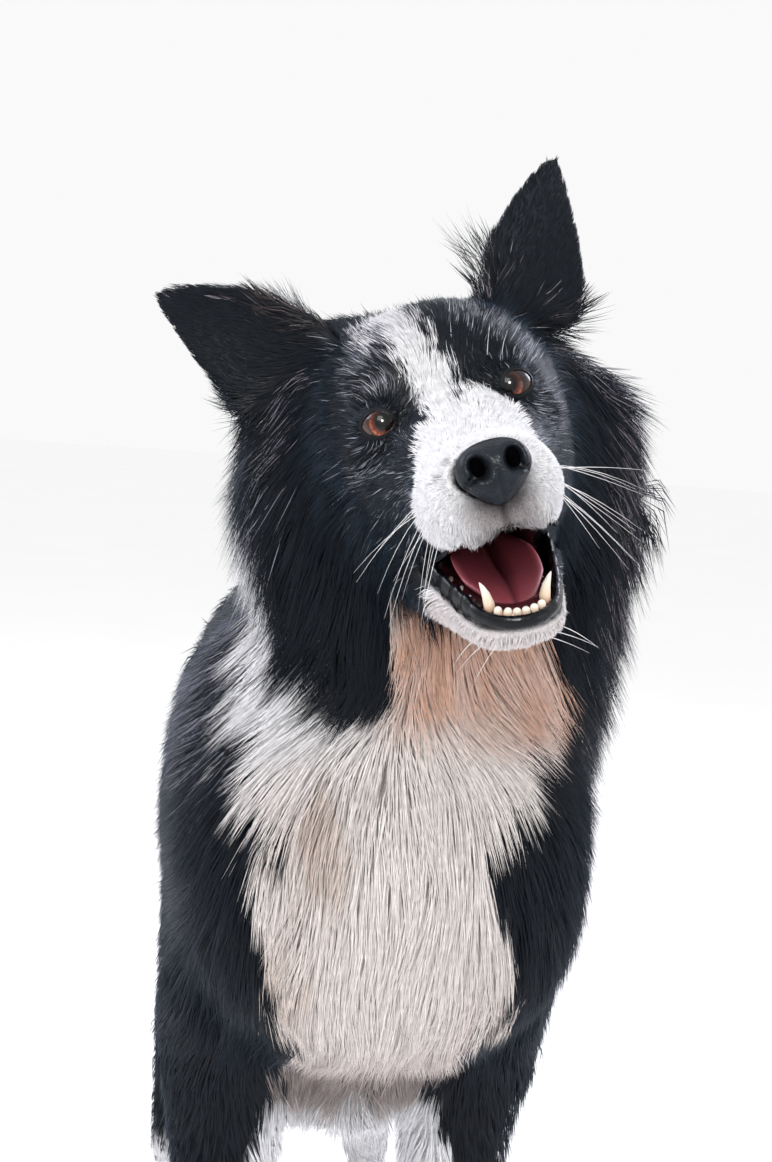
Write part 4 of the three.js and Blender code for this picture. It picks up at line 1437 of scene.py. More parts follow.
def tuft_paths(picks, shares, length, depth, stand, free, rings, spacing, rng):
    """Points along each tuft, from just under the skin to its tip, and the way across it."""
    count = len(picks)
    marks = TUFT_MARKS[rings]
    roots = at_roots(Skin.points, picks, shares)
    normals = unit(at_roots(Skin.normals, picks, shares))
    lie = at_roots(Skin.lie, picks, shares)
    lie = unit(lie - normals * dot(lie, normals)[:, None])
    bend = 0.20 * wobble(roots, 0.07, 51) + 0.12 * wobble(roots, 0.022, 52)
    bend = bend + rng.normal(scale=0.09, size=count)
    length = length * rng.uniform(0.62, 1.12, count)
    layer = rng.uniform(0.45, 1.0, count) ** 0.7
    wild = rng.uniform(size=count) < WILD_SHARE * np.clip(stand, 0, 1)
    lift = rng.uniform(size=count) ** 2
    steps = walk(roots, normals, lie, depth, length, bend, free, marks)
    path = []
    for (base, normal, deep), mark in zip(steps, marks):
        rise = deep * layer * (1 - (1 - mark) ** 1.7)
        rise = rise + np.where(wild, 0.35, 0.16 * lift * np.clip(stand, 0, 1)) * length * mark ** 2
        rise = rise + stand * 0.05 * length * mark + 0.5 * free * mark
        path.append(base + normal * (rise - ROOT_UNDER_SKIN * (1 - mark))[:, None])
    path = np.stack(path, axis=1)
    for k, mark in enumerate(marks):
        path[:, k, 2] -= SAG * length * np.clip(length / 0.05, 0, 1.2) * mark ** 2
    pull = float(np.interp(spacing, (4.0, 9.0, 13.0), (0.45, 0.45, 0.62)))
    path = in_locks(path, spacing * MM, pull, marks, rng)
    fuzz = np.clip(0.13 * length, 0.8 * MM, 5 * MM) * rng.uniform(0.0, 1.0, count)
    fuzz = fuzz + np.where(wild, 7 * MM * stand * rng.uniform(size=count), 0.0) + free
    beyond = at_roots(Skin.fields["beyond"], picks, shares)
    for k in range(1, len(marks)):
        path[:, k] = kept_in(path[:, k], fuzz * marks[k] + beyond)
    return path, np.cross(normals, lie), normals


def kept_in(places, fuzz):
    """Draws back the places that stand out of the dog's outline by more than the fuzz."""
    out = places.copy()
    for i, place in enumerate(places):
        point = Vector(place)
        nearest, normal, _, distance = Skin.outline.find_nearest(point)
        if distance > fuzz[i] and (point - nearest).dot(normal) > 0:
            out[i] = nearest + (point - nearest) * (fuzz[i] / distance)
    return out


def beyond_outline(points):
    """How far the skin's points stand out of the dog's outline, with room for a hair."""
    out = np.zeros(len(points))
    for i, place in enumerate(points):
        point = Vector(place)
        nearest, normal, _, distance = Skin.outline.find_nearest(point)
        if (point - nearest).dot(normal) > -1.5 * MM:
            out[i] = distance * math.copysign(1.0, (point - nearest).dot(normal)) + 1.5 * MM
    return out


def tuft_arrays(path, aside, normals, width, roll):
    """Corners of closed three-sided spindles, pointed at the root and the tip."""
    count, rings = path.shape[0], path.shape[1] - 2
    verts = np.empty((count, rings * 3 + 2, 3))
    verts[:, 0], verts[:, -1] = path[:, 0], path[:, -1]
    for k in range(rings):
        swell = width * (1.0 if k == 0 else 0.78)
        for j in range(3):
            angle = roll + math.radians(90 + 120 * j)
            side = aside * (np.cos(angle) * swell * 0.5)[:, None]
            rise = normals * (np.sin(angle) * swell * 0.24)[:, None]
            verts[:, 1 + k * 3 + j] = path[:, k + 1] + side + rise
    return verts


def tuft_faces(rings):
    """The faces of one spindle, by its own corners' numbers."""
    faces = [(0, 1 + (j + 1) % 3, 1 + j) for j in range(3)]
    for k in range(rings - 1):
        for j in range(3):
            a, b = 1 + k * 3 + j, 1 + k * 3 + (j + 1) % 3
            faces.append((a, b, b + 3, a + 3))
    last = 1 + (rings - 1) * 3
    faces += [(last + j, last + (j + 1) % 3, last + 3) for j in range(3)]
    return faces


def tuft_mesh(name, verts, tint, root_uv, lit):
    """One mesh of all tufts, with a tint, darker toward the root as painted shade, and a small
    patch of the skin's map for each.

    Its tufts are lit partly as the body under them is, as a soft coat is.
    """
    count, each = verts.shape[:2]
    rings = (each - 2) // 3
    faces = tuft_faces(rings)
    pattern = np.array([corner for face in faces for corner in face])
    sizes = np.array([len(face) for face in faces])
    corners = (np.arange(count)[:, None] * each + pattern).ravel()
    mesh = bpy.data.meshes.new(name)
    mesh.vertices.add(count * each)
    mesh.vertices.foreach_set("co", verts.astype(np.float32).ravel())
    mesh.loops.add(len(corners))
    mesh.loops.foreach_set("vertex_index", corners.astype(np.int32))
    mesh.polygons.add(count * len(faces))
    starts = np.concatenate(((0,), np.cumsum(np.tile(sizes, count))[:-1]))
    mesh.polygons.foreach_set("loop_start", starts.astype(np.int32))
    mesh.update(calc_edges=True)
    level = np.concatenate(((0.0,), np.repeat((np.arange(rings) + 1) / (rings + 1), 3), (1.0,)))
    across = np.concatenate(((0.0,), np.tile((0.0, -0.87, 0.87), rings), (0.0,)))
    bright = np.clip(tint.mean(axis=1) * 4, 0, 1)[:, None]
    # Painted shade: each tuft's colour darker toward its root, most of all on dark hair.
    shade = (0.70 + 0.22 * bright) + (0.42 - 0.30 * bright) * level[None, :]
    colour = np.clip(tint[:, None, :] * shade[..., None], 0, 1).reshape(-1, 3)
    point_values(mesh, "tint", colour, "FLOAT_COLOR")
    patch = np.stack((across, 2 * level - 1), axis=1) * (TUFT_PATCH / 2)
    uvs = np.clip(root_uv[:, None, :] + patch[None], 0.0, 1.0).reshape(-1, 2)
    layer = mesh.uv_layers.new(name="OFBake")
    layer.uv.foreach_set("vector", uvs[corners].astype(np.float32).ravel())
    mesh.shade_smooth()
    own = np.empty(count * each * 3)
    mesh.vertices.foreach_get("normal", own)
    even = (SOFTNESS + 0.2 * bright)[..., None]
    soft = unit(own.reshape(count, each, 3) * (1 - even) + lit[:, None, :] * even)
    mesh.normals_split_custom_set_from_vertices(soft.reshape(-1, 3))
    return mesh


def grow(regions, count, rings, spacing, settings, colours, rng):
    """The tufts of one piece of coat, as its arrays."""
    share = settings.number_share * 1.0
    widen = settings.width_share * 1.0
    picks, shares = sample_roots(regions, int(count * share), rng)
    depth, length, width, stand, free = (at_roots(Skin.fields[key], picks, shares)
                                         for key in ("depth", "length", "width", "stand", "free"))
    tame = (free > FREE_FOR_ALL) & (rng.uniform(size=len(picks)) > 0.5)
    shorter = np.clip(FREE_FOR_ALL / np.maximum(free, MM), 0.45, 1.0)
    length = np.where(tame, length * shorter, length)
    free = np.where(tame, 0.0, free)
    length = length * settings.length_share
    path, aside, normals = tuft_paths(
        picks, shares, length, depth, stand, free, rings, spacing, rng)
    path[..., 2] = np.maximum(path[..., 2], FLOOR_GAP)
    width = width * widen * rng.uniform(0.6, 1.25, len(picks))
    verts = tuft_arrays(path, aside, normals, width, rng.normal(scale=0.3, size=len(picks)))
    seen = path[:, 0] * 0.4 + path[:, -1] * 0.6
    tint, white = tints(seen, rng, colours)
    root_uv = np.sum(Skin.uvs[picks] * shares[..., None], axis=1)
    return verts, tint, white, root_uv, normals


# ---------------------------------------------------------------- operators

class DogOperator(bpy.types.Operator):
    """Common ground of the makers of pieces."""

    bl_options = {"REGISTER", "UNDO"}


class DOG_OT_skin(DogOperator):
    """Make the skin, one surface in place of all nodes of flesh"""

    bl_idname = "dog.skin"
    bl_label = "Skin"

    def execute(self, context):
        mesh, old_points, old_nodes, old_fields = skin_mesh()
        mesh = refined(thinned(mesh))
        points, edges, triangles = mesh_arrays(mesh)
        points = smoothed(points, edges, 3)
        tree = point_tree(old_points)
        match = [tree.find(point)[1] for point in points]
        Skin.node_at = staticmethod(
            lambda places: old_nodes[[tree.find(place)[1] for place in places]])
        fields = old_fields[match]
        head = moved(TO_HEAD, points)
        Skin.region = self.regions(old_nodes[match], points, head)
        self.sculpt(head, edges)
        points = moved(HEAD, head)
        mesh.vertices.foreach_set("co", points.ravel())
        mesh.update()
        mesh.shade_smooth()
        Skin.points = points
        Skin.normals = point_normals(points, triangles)
        dress_face(fields, head)
        Skin.lie = fields[:, LIE]
        growth, wet = self.colour(mesh, fields, head, context.scene.dog_colours)
        density = np.interp(fields[:, LENGTH], (4.5 * MM, 8 * MM, 20 * MM), (2.6, 1.7, 1.0))
        Skin.fields = {
            "depth": fields[:, DEPTH], "length": fields[:, LENGTH], "width": fields[:, WIDTH],
            "stand": fields[:, STAND], "free": fields[:, FREE]}
        Skin.fields["growth"] = growth * density
        Skin.fields["beyond"] = beyond_outline(points)
        point_values(mesh, "wet", wet)
        piece = link("skin", mesh, skin_material())
        unwrapped(piece)
        Skin.uvs = corner_uvs(mesh)
        Skin.triangles = mesh_arrays(mesh)[2]
        Skin.tree = closed_tree(points, Skin.triangles)
        for key, values in (("normals", Skin.normals), ("lie", Skin.lie),
                            ("depth", fields[:, DEPTH])):
            Skin.flat[key] = values[Skin.triangles].mean(axis=1)
        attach(piece, BODY)
        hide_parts(*FLESH)
        return {"FINISHED"}

    @staticmethod
    def regions(region, points, head):
        """The node of each point, with the crown and the throat as regions of their own."""
        region[of_node(region, "head") & (head[:, 1] > 28 * MM)] = REGIONS.index("crown")
        under_chin = (points[:, 1] < -0.245) & (np.abs(points[:, 0] - 0.01) < 0.09)
        region[of_node(region, "neck") & under_chin] = REGIONS.index("throat")
        return region

    @staticmethod
    def sculpt(head, edges):
        """Shapes the face and the lids in the head's frame."""
        sculpt_face(head)
        near_face = head[:, 1] < 30 * MM
        settled = smoothed(head, edges, 2, 0.4)
        head[near_face] = settled[near_face]
        for side in (1, -1):
            sculpt_lids(head, edges, side)

    @staticmethod
    def colour(mesh, fields, head, colours):
        """Tints the skin; returns where the coat grows and where the skin is wet."""
        on_face = of_node(Skin.region, "head", "lower_jaw", "crown")
        on_jaw = of_node(Skin.region, "lower_jaw")
        inside, band = mouth_masks(Skin.points, Skin.normals, on_jaw)
        inside, band = inside * on_face, band * on_face
        growth = np.clip(1 - inside - band, 0, 1)
        seen = Skin.points + Skin.lie * (fields[:, LENGTH] * 0.4)[:, None]
        tint = 0.85 * tints(seen, np.random.default_rng(3), colours, speckle=False)[0]
        for side in (1, -1):
            _, _, distance, facing, edge, _ = lid_measures(head, side)
            rim = smoothstep(2.4 * MM, 0.6 * MM, edge) * (distance < 20 * MM) * (facing > 0)
            tint = blended(tint, 0.7 * np.array(colours.black), rim)
            growth = growth * (1 - (edge < 0.3 * MM) * (rim > 0.5))
        tint = blended(tint, BARE_SKIN, band)
        # Painted shade: the inside of the mouth drawn to the dark lining colour.
        tint = blended(tint, colours.mouth, inside)
        bed = nose_bed(head)
        tint = blended(tint, BARE_SKIN, bed)
        point_values(mesh, "tint", tint, "FLOAT_COLOR")
        return growth * (bed < 0.5), np.clip(inside + band, 0, 1)


class DOG_OT_coat(DogOperator):
    """Grow the coat as tufts of solid mesh that follow its lie"""

    bl_idname = "dog.coat"
    bl_label = "Coat"

    def execute(self, context):
        settings, colours = context.scene.dog_coat, context.scene.dog_colours
        black_fur = coat_material("coat_black", 0.42, 0.07, (0.42, 0.66, 0.95), 0.15)
        white_fur = coat_material("coat_white", 0.65, 0.10, (1.0, 1.0, 1.0), 0.15)
        for index, (name, (regions, count, rings, spacing)) in enumerate(COAT_PIECES.items()):
            rng = np.random.default_rng(settings.seed * 100 + index)
            verts, tint, white, root_uv, lit = grow(
                regions, count, rings, spacing, settings, colours, rng)
            light = white > 0.5
            for here, kind, fur in ((light, "white", white_fur), (~light, "black", black_fur)):
                if not here.any():
                    continue
                mesh = tuft_mesh(
                    f"{name}_{kind}", verts[here], tint[here], root_uv[here], lit[here])
                piece = link(f"{name}_{kind}", mesh, fur)
                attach(piece, BODY)
        return {"FINISHED"}


class DOG_OT_eyes(DogOperator):
    """Make the two eyeballs and the dark rims of their lids"""

    bl_idname = "dog.eyes"
    bl_label = "Eyes"

    def execute(self, context):
        settings = context.scene.dog_eye
        eyeball, lip = eye_material(settings), lip_material()
        for side, name in ((1, "left"), (-1, "right")):
            centre = HEAD @ Vector((side * EYEBALL_X, EYEBALL_Y, 0.0))
            gaze = (CAMERA_AT - centre).normalized()
            gaze = (gaze + HEAD.to_3x3() @ Vector((-0.12 * side, 0.0, 0.13))).normalized()
            turn = gaze.to_track_quat("Z", "Y").to_matrix().to_4x4()
            bm = bmesh.new()
            bmesh.ops.create_uvsphere(bm, u_segments=48, v_segments=48, radius=1.0)
            rays = []
            for vert in bm.verts:
                angle = math.acos(max(-1.0, min(1.0, vert.co.z)))
                flat = Vector((vert.co.x, vert.co.y, 0.0))
                flat = flat.normalized() if flat.length > 1e-6 else flat
                rays.append((flat.x, flat.y, angle / math.pi))
                reach = settings.iris_angle * 1.1
                rise = settings.cornea_rise * max(0.0, 1 - (angle / reach) ** 2)
                vert.co *= EYEBALL_RADIUS + rise
            bmesh.ops.transform(bm, matrix=Matrix.Translation(centre) @ turn, verts=bm.verts)
            piece = finished(f"eyeball_{name}", bm, eyeball)
            point_values(piece.data, "ray", np.array(rays), "FLOAT_VECTOR")
            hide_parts(f"eye_{name}")
            self.rim(side, name, lip)
        return {"FINISHED"}

    def rim(self, side, name, material):
        """A dark tube along the edge of the opening."""
        centre = Vector((side * EYEBALL_X, EYEBALL_Y, 0.0))
        across, up, out = lid_axes(side)
        points = []
        steps = 44
        for i in range(steps):
            angle = 2 * math.pi * i / steps
            u = math.cos(angle)
            v = float(lid_height(np.array(u))) * (1 if math.sin(angle) >= 0 else -0.86)
            x, y = u * LID_HALF_WIDTH, v * LID_HALF_HEIGHT
            depth = math.sqrt(max(EYEBALL_RADIUS ** 2 - x * x - y * y, 1e-6))
            ray = (across * x + up * y + out * depth).normalized()
            points.append(HEAD @ (centre + ray * (EYEBALL_RADIUS + 0.35 * MM)))
        bm = bmesh.new()
        sweep(bm, points, [(0.5 * MM, 0.5 * MM)] * steps, HEAD.to_3x3() @ out, 8, closed=True)
        finished(f"eyelid_rim_{name}", bm, material)


class DOG_OT_nose(DogOperator):
    """Make the nose leather with its nostrils and groove, and dark fills in the nostrils as
    painted shade
    """

    bl_idname = "dog.nose"
    bl_label = "Nose"

    def execute(self, context):
        bm = bmesh.new()
        bmesh.ops.create_icosphere(bm, subdivisions=5, radius=1.0)
        hollow_shades = []
        for vert in bm.verts:
            vert.co, hollow_shade = self.leather(vert.co)
            hollow_shades.append(hollow_shade)
        bmesh.ops.smooth_vert(bm, verts=bm.verts, factor=0.3,
                              use_axis_x=True, use_axis_y=True, use_axis_z=True)
        bmesh.ops.transform(bm, matrix=HEAD @ Matrix.Translation(NOSE_MIDDLE), verts=bm.verts)
        piece = finished("nose_leather", bm, nose_material())
        point_values(piece.data, "hollow_shade", np.array(hollow_shades))
        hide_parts("nose")
        # Two dark bodies in the nostrils' pits, as painted shade.
        bm = bmesh.new()
        for side in (1, -1):
            at = NOSE_MIDDLE + Vector((side * NOSTRIL[0] + 0.7, -4.2, NOSTRIL[1])) * MM
            size = Matrix.Diagonal((3.4 * MM, 2.2 * MM, 4.6 * MM, 1.0))
            bmesh.ops.create_icosphere(
                bm, subdivisions=3, radius=1.0, matrix=HEAD @ Matrix.Translation(at) @ size)
        finished("nostrils", bm, nostril_shade_material())
        return {"FINISHED"}

    @staticmethod
    def leather(unit_place):
        """A unit sphere's point taken to the nose's shape, and its painted shade by how far it is
        in a nostril and along the groove.
        """
        x, y, z = unit_place
        x = math.copysign(abs(x) ** 0.88, x)
        z = math.copysign(abs(z) ** 0.88, z)
        low = max(-z, 0.0)
        place = Vector((x * NOSE_HALF_WIDTH * (1.0 - 0.54 * low ** 1.5), y * NOSE_HALF_DEPTH,
                        z * (NOSE_ABOVE if z > 0 else NOSE_BELOW)))
        if y > 0:
            return place * MM, 0.0
        front = min(1.0, -2.5 * y)
        place.y += front * (3.4 * max(z, 0.0) ** 2 + 0.8 * low)
        hollow_shade = 0.0
        for side in (1, -1):
            aside = side * place.x - NOSTRIL[0] - 0.7 * side - 0.12 * (place.z - NOSTRIL[1])
            hole = math.hypot(aside / 4.6, (place.z - NOSTRIL[1]) / 6.0)
            start, end = Vector((9.8, 0.0, -1.2)), Vector((16.4, 0.0, -5.6))
            at = Vector((side * place.x, 0.0, place.z))
            share = (at - start).dot(end - start) / (end - start).length_squared
            share = max(0.0, min(1.0, share))
            slit = (at - start.lerp(end, share)).length / (2.3 - 0.9 * share)
            deep = max(float(smoothstep(1.15, 0.55, hole)),
                       0.75 * float(smoothstep(1.2, 0.3, slit)) * (1 - 0.35 * share))
            hollow_shade = max(hollow_shade, deep)
            place.y += front * 6.5 * deep
            rim = math.exp(-(((min(hole, slit + 0.35) - 1.42) / 0.24) ** 2))
            place.y -= front * 1.0 * rim * (1 - deep)
        groove = math.exp(-((place.x / 1.0) ** 2)) * float(smoothstep(0.35, -0.1, z))
        place.y += front * 1.8 * groove
        return place * MM, min(1.0, hollow_shade + 0.5 * groove)


class DOG_OT_mouth(DogOperator):
    """Make the tongue, gums, teeth and lips"""

    bl_idname = "dog.mouth"
    bl_label = "Mouth"

    # The lower gum's line seen from above, and the tongue's half width and top by its length.
    arch = ((-25, 2), (-22.5, -22), (-19, -45), (-15.5, -66), (-12.5, -76.5), (-6.5, -82.5),
            (0, -84), (6.5, -82.5), (12.5, -76.5), (15.5, -66), (19, -45), (22.5, -22), (25, 2))
    tongue_half = ((0, 0.12, 0.3, 0.6, 1.0), (11, 17, 21, 20.5, 16))
    tongue_top = ((0, 0.25, 0.6, 1.0), (-64.5, -60.0, -54.5, -50.0))
    # Profiles of a tooth: rise from the root and share of its width, for short and long ones.
    short_tooth = ((-0.25, 0.80), (0.0, 0.92), (0.3, 1.0), (0.65, 0.95), (0.88, 0.72), (1.0, 0.34))
    long_tooth = ((-0.25, 0.85), (0.0, 1.0), (0.3, 0.95), (0.6, 0.70), (0.85, 0.38), (1.0, 0.08))
    side_teeth = ((15.4, -64, 3.2), (17.2, -53, 4.4), (19.2, -40, 5.0), (21.2, -24, 6.0))

    def execute(self, context):
        self.tongue(context.scene.dog_colours.tongue)
        self.gum()
        self.teeth()
        self.lips()
        return {"FINISHED"}

    def tongue(self, colour):
        """A ball drawn out along the jaw, cupped, with a groove down its middle."""
        bm = bmesh.new()
        bmesh.ops.create_uvsphere(bm, u_segments=64, v_segments=48, radius=1.0)
        bmesh.ops.rotate(bm, matrix=Matrix.Rotation(math.radians(90), 3, "X"), verts=bm.verts)
        edge = []
        for vert in bm.verts:
            x, y, z = vert.co
            length = (y + 1) / 2
            half = float(np.interp(length, *self.tongue_half))
            top = float(np.interp(length, *self.tongue_top))
            cup = 5.5 * abs(x) ** 3 * (1 - 0.5 * length)
            groove = 3.0 * math.exp(-((x / 0.10) ** 2)) * (z > 0) * min(1.0, 2.5 * length)
            hump = 1.2 * math.sin(length * 9.0) * (1 - abs(x))
            middle_z = top - 8.5 / 2 + cup
            rise = middle_z + z * 5.0 - groove + hump
            vert.co = Vector((x * half, -80.5 + 100.5 * length, rise)) * MM
            edge.append(min(1.0, abs(x) ** 1.5 + 0.35 * (1 - length) ** 3)
                        * (1.0 - 0.9 * math.exp(-((x / 0.09) ** 2))))
        bmesh.ops.transform(bm, matrix=JAW, verts=bm.verts)
        piece = finished("tongue_soft", bm, tongue_material(colour))
        point_values(piece.data, "edge", np.array(edge))
        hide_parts("tongue")

    def gum(self):
        """Tubes along the lower jaw and along both sides of the upper one."""
        line = curve_points([(x, y, -70.0) for x, y in self.arch], 60)
        bm = bmesh.new()
        halves = [(3.2 * MM, 4.4 * MM)] * len(line)
        sweep(bm, vectors(line, JAW), halves, JAW.to_3x3() @ Vector((0, 0, 1)), 12)
        gum = gum_material()
        finished("lower_gum", bm, gum)
        bm = bmesh.new()
        for side in (1, -1):
            line = [(side * 15, -80, -61), (side * 19.5, -66, -63), (side * 22, -45, -65),
                    (side * 23.5, -20, -66), (side * 22, 6, -66)]
            points = curve_points(line, 24)
            sweep(bm, vectors(points, HEAD), [(2.6 * MM, 4.4 * MM)] * 24,
                  HEAD.to_3x3() @ Vector((0, 0, 1)), 10)
        finished("upper_gum", bm, gum)

    def tooth(self, bm, at, height, half_out, half_along, lean=(0.0, 0.0), outward=None):
        """A tooth of the lower jaw, from its root up: wide at its neck, blunt at its tip."""
        profile = self.long_tooth if height > 12 else self.short_tooth
        ahead = JAW.to_3x3() @ Vector((*(outward or (0.0, -1.0)), 0.0))
        points, halves = [], []
        for rise, share in profile:
            bend = rise * rise
            points.append(Vector((at[0] + lean[0] * bend, at[1] + lean[1] * bend,
                                  at[2] + rise * height)) * MM)
            halves.append((half_along * share * MM, half_out * share * MM))
        sides = 12
        sweep(bm, [JAW @ point for point in points], halves, ahead, sides)
        return [rise for rise, _ in profile for _ in range(sides)]

    def teeth(self):
        """A canine, three incisors and four side teeth on each side of the lower jaw."""
        bm = bmesh.new()
        rises = []
        for side in (1, -1):
            rises += self.tooth(bm, (side * 13, -77, -67.5), 15.5, 3.3, 2.8, (side * 4.0, -1.5))
            for i in range(3):
                x, y = side * (2.1 + 4.1 * i), -85.6 + 1.6 * i * i * 0.5
                rises += self.tooth(bm, (x, y, -69.0), 4.4 + 0.5 * i, 1.7, 2.15)
            for i, (x, y, size) in enumerate(self.side_teeth):
                rises += self.tooth(bm, (side * x, y, -69.5), 3.4 + 0.8 * i, 2.0, size,
                                    outward=(1.0, 0.12 * side))
        piece = finished("lower_teeth", bm, tooth_material())
        point_values(piece.data, "rise", np.clip(np.array(rises), 0, 1))

    def lips(self):
        """The dark edge of the lower lip, a little ruffled, and of both sides of the upper."""
        material = lip_material()
        lower = [(-33, 8, -59.5), (-30.5, -16, -61.5), (-26.5, -42, -64.5), (-22.5, -62, -66.5),
                 (-17.8, -77, -68.5), (-9.5, -86.8, -70), (0, -89.6, -70.3)]
        lower += [(-x, y, z) for x, y, z in lower[-2::-1]]
        line = curve_points(lower, 110)
        halves = []
        for i, point in enumerate(line):
            aside = float(smoothstep(-84, -60, point[1]))
            ruffle = 1.0 + (0.04 + 0.20 * aside) * math.sin(i * 1.9) * math.sin(i * 0.83)
            halves.append((2.4 * MM * ruffle, (3.3 + 2.6 * aside) * MM * ruffle))
        bm = bmesh.new()
        sweep(bm, vectors(line, JAW), halves, JAW.to_3x3() @ Vector((0, 0, 1)), 12)
        finished("lower_lip", bm, material)
        bm = bmesh.new()
        for side in (1, -1):
            upper = [(side * 33.0, 8, -70.5), (side * 31.5, -20, -71.0), (side * 28.0, -40, -70.0),
                     (side * 25.5, -53, -68.0)]
            line = curve_points(upper, 44)
            halves = [((1.5 - 0.8 * (i / 43) ** 2) * MM, (1.9 - 1.2 * (i / 43) ** 2) * MM)
                      for i in range(44)]
            sweep(bm, vectors(line, HEAD), halves, HEAD.to_3x3() @ Vector((0, 0, 1)), 10)
        finished("upper_lip", bm, material)


class DOG_OT_whiskers(DogOperator):
    """Make the whiskers of the muzzle, chin and brows"""

    bl_idname = "dog.whiskers"
    bl_label = "Whiskers"

    def execute(self, context):
        rng = np.random.default_rng(5)
        bm = bmesh.new()
        for side in (1, -1):
            for row in range(3):
                for place in range(4):
                    root = (side * (29.5 - 0.8 * row + 0.8 * place), -76 + 7.5 * place - 2 * row,
                            -46 - 6.0 * row + 1.0 * place)
                    out = Vector((side * (0.95 - 0.14 * row), -0.30 + 0.16 * place,
                                  -0.22 - 0.36 * row - 0.08 * place))
                    self.whisker(bm, root, out, rng.uniform(28, 50), HEAD, rng)
            for place in range(3):
                root = (side * (12 + 5 * place), -82 + 5 * place, -82)
                out = Vector((side * 0.8, -0.35, -0.30))
                self.whisker(bm, root, out, rng.uniform(14, 24), JAW, rng)
            for place in range(2):
                root = (side * (26 + 7 * place), -2, 19 - 2 * place)
                out = Vector((side * 0.3, -0.6, 0.7))
                self.whisker(bm, root, out, rng.uniform(14, 20), HEAD, rng)
        finished("whiskers", bm, whisker_material())
        return {"FINISHED"}

    def whisker(self, bm, root, out, length, matrix, rng):
        """A stiff bristle that tapers and droops a little."""
        out = (out + Vector(rng.normal(scale=0.10, size=3))).normalized()
        droop = Vector((0, 0, -rng.uniform(0.10, 0.35)))
        steps = 6
        points, halves = [], []
        for i in range(steps):
            t = i / (steps - 1)
            at = (Vector(root) + out * length * (t - 0.06) + droop * length * t * t) * MM
            points.append(matrix @ at)
            half = (0.19 * (1 - t) + 0.04) * MM
            halves.append((half, half))
        sweep(bm, points, halves, Vector((0, 0, 1)), 4)


class DOG_OT_feet(DogOperator):
    """Make the claws and the pads under the paws"""

    bl_idname = "dog.feet"
    bl_label = "Claws and pads"

    # Millimetres from the middle of a sole: the two inner and the two outer toes' reach ahead,
    # and the pads' middle above the floor.
    inner_reach, outer_reach, pad_level = 23.4, 12.5, 3.4

    def execute(self, context):
        claws, pads = bmesh.new(), bmesh.new()
        for mount in frame["record"]["mounts"]:
            sole = Vector(mount["pos_m"])
            for place in (-1.5, -0.5, 0.5, 1.5):
                reach = self.inner_reach if abs(place) < 1 else self.outer_reach
                root = sole + Vector((place * 12.7, -reach - 11.0, 12.0)) * MM
                self.claw(claws, root, place)
                at_pad = sole + Vector((place * 12.3, -reach - 2.0, self.pad_level)) * MM
                self.pad(pads, at_pad, 5.6, 8.0)
            self.pad(pads, sole + Vector((0.0, 9.0, self.pad_level)) * MM, 14.0, 12.0)
        finished("claws", claws, claw_material())
        finished("paw_pads", pads, pad_material())
        return {"FINISHED"}

    @staticmethod
    def claw(bm, root, place):
        """A blunt claw that curves down; `place` is its toe's, from the paw's middle."""
        points, halves = [], []
        for t in (0.0, 0.2, 0.45, 0.7, 0.88, 1.0):
            points.append(root + Vector((place * 0.4 * t, -12.0 * t, 1.4 * t - 6.6 * t * t)) * MM)
            size = 0.30 + 0.74 * (1.0 - t) ** 0.6
            halves.append((2.2 * size * MM, 3.0 * size * MM))
        sweep(bm, points, halves, Vector((0, 0, 1)), 10)

    @staticmethod
    def pad(bm, at, half_side, half_along):
        """A round pad, flat where it rests on the floor."""
        made = bmesh.ops.create_uvsphere(bm, u_segments=20, v_segments=12, radius=1.0)
        for vert in made["verts"]:
            x, y, z = vert.co
            vert.co = at + Vector((x * half_side, y * half_along, z * 4.6)) * MM
            vert.co.z = max(vert.co.z, 0.0)


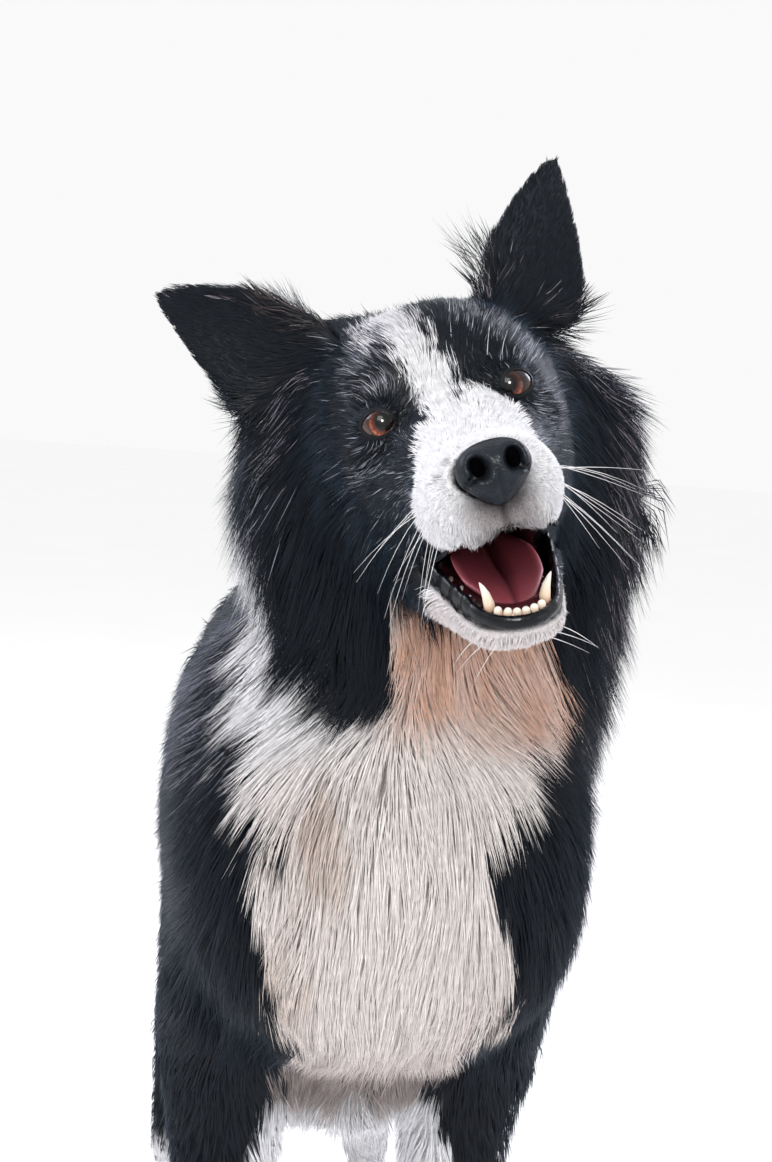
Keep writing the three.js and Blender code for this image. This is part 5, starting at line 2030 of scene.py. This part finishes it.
class DOG_OT_stage(DogOperator):
    """Make the studio: a pale floor, soft light and the camera"""

    bl_idname = "dog.stage"
    bl_label = "Stage"

    def execute(self, context):
        settings = context.scene.dog_stage
        bm = bmesh.new()
        bmesh.ops.create_circle(bm, cap_ends=True, segments=96, radius=settings.floor_radius)
        mesh = bpy.data.meshes.new("floor")
        bm.to_mesh(mesh)
        bm.free()
        link("floor", mesh, floor_material(settings.floor_colour))
        self.world(context.scene, settings.sky_strength)
        key, rim = settings.key_power, settings.rim_power
        warm, cool, violet = (1.0, 0.97, 0.94), (0.93, 0.95, 1.0), (0.82, 0.82, 1.0)
        self.light("key", (-1.3, -2.1, 2.3), key, 1.3, warm)
        catch = self.light("catch", (-0.55, -2.0, 1.45), settings.catch_power, 0.36, (1, 1, 1))
        catch.visible_diffuse = False
        self.light("fill", (1.9, -1.7, 1.1), key * 0.30, 1.6, cool)
        self.light("rim_left", (1.7, 0.9, 1.7), rim, 0.9, violet)
        self.light("rim_right", (-1.7, 0.9, 1.7), rim, 0.9, violet)
        self.camera(context.scene)
        return {"FINISHED"}

    @staticmethod
    def world(scene, strength):
        world = bpy.data.worlds.new("studio_sky")
        world.use_nodes = True
        sky = world.node_tree.nodes["Background"]
        sky.inputs["Color"].default_value = (1.0, 1.0, 1.0, 1.0)
        sky.inputs["Strength"].default_value = strength
        scene.world = world
        scene.view_settings.view_transform = "Standard"

    @staticmethod
    def light(name, at, power, size, colour):
        """A square lamp that looks at the chest."""
        lamp = bpy.data.lights.new(name, "AREA")
        lamp.energy = power
        lamp.size = size
        lamp.color = colour
        holder = bpy.data.objects.new(name, lamp)
        bpy.context.scene.collection.objects.link(holder)
        aim = (LIT_PLACE - Vector(at)).to_track_quat("-Z", "Y").to_matrix().to_4x4()
        holder.matrix_world = Matrix.Translation(at) @ aim
        return holder

    @staticmethod
    def camera(scene):
        lens = bpy.data.cameras.new("camera")
        lens.lens = CAMERA_LENS_MM
        lens.sensor_width = CAMERA_SENSOR_MM
        lens.sensor_fit = "AUTO"
        lens.clip_start = 0.02
        holder = bpy.data.objects.new("camera", lens)
        scene.collection.objects.link(holder)
        aim = Euler((math.radians(90) + CAMERA_PITCH, 0.0, CAMERA_AZIMUTH), "XYZ").to_matrix()
        roll = Matrix.Rotation(CAMERA_ROLL, 3, "Z")
        holder.matrix_world = Matrix.Translation(CAMERA_AT) @ (aim @ roll).to_4x4()
        scene.camera = holder


class DOG_PT_panel(bpy.types.Panel):
    """Lists the dog's settings and the makers of its pieces"""

    bl_label = "Standing sheepdog"
    bl_idname = "DOG_PT_panel"
    bl_space_type = "VIEW_3D"
    bl_region_type = "UI"
    bl_category = "Dog"

    def draw(self, context):
        for group in ("dog_coat", "dog_colours", "dog_eye", "dog_stage"):
            box = self.layout.box()
            settings = getattr(context.scene, group)
            for key in settings.__annotations__:
                box.prop(settings, key)
        for maker in MAKERS:
            self.layout.operator(maker.bl_idname)


MAKERS = (DOG_OT_stage, DOG_OT_skin, DOG_OT_coat, DOG_OT_eyes, DOG_OT_nose, DOG_OT_mouth,
          DOG_OT_whiskers, DOG_OT_feet)
SETTINGS = {"dog_coat": DogCoatSettings, "dog_colours": DogColourSettings,
            "dog_eye": DogEyeSettings, "dog_stage": DogStageSettings}


def register():
    for group in SETTINGS.values():
        bpy.utils.register_class(group)
    for name, group in SETTINGS.items():
        setattr(bpy.types.Scene, name, PointerProperty(type=group))
    for kind in (*MAKERS, DOG_PT_panel):
        bpy.utils.register_class(kind)


def unregister():
    for kind in reversed((*MAKERS, DOG_PT_panel)):
        bpy.utils.unregister_class(kind)
    for name, group in SETTINGS.items():
        delattr(bpy.types.Scene, name)
        bpy.utils.unregister_class(group)


def main():
    register()
    for maker in MAKERS:
        family, name = maker.bl_idname.split(".")
        getattr(getattr(bpy.ops, family), name)()


if __name__ == "__main__":
    main()
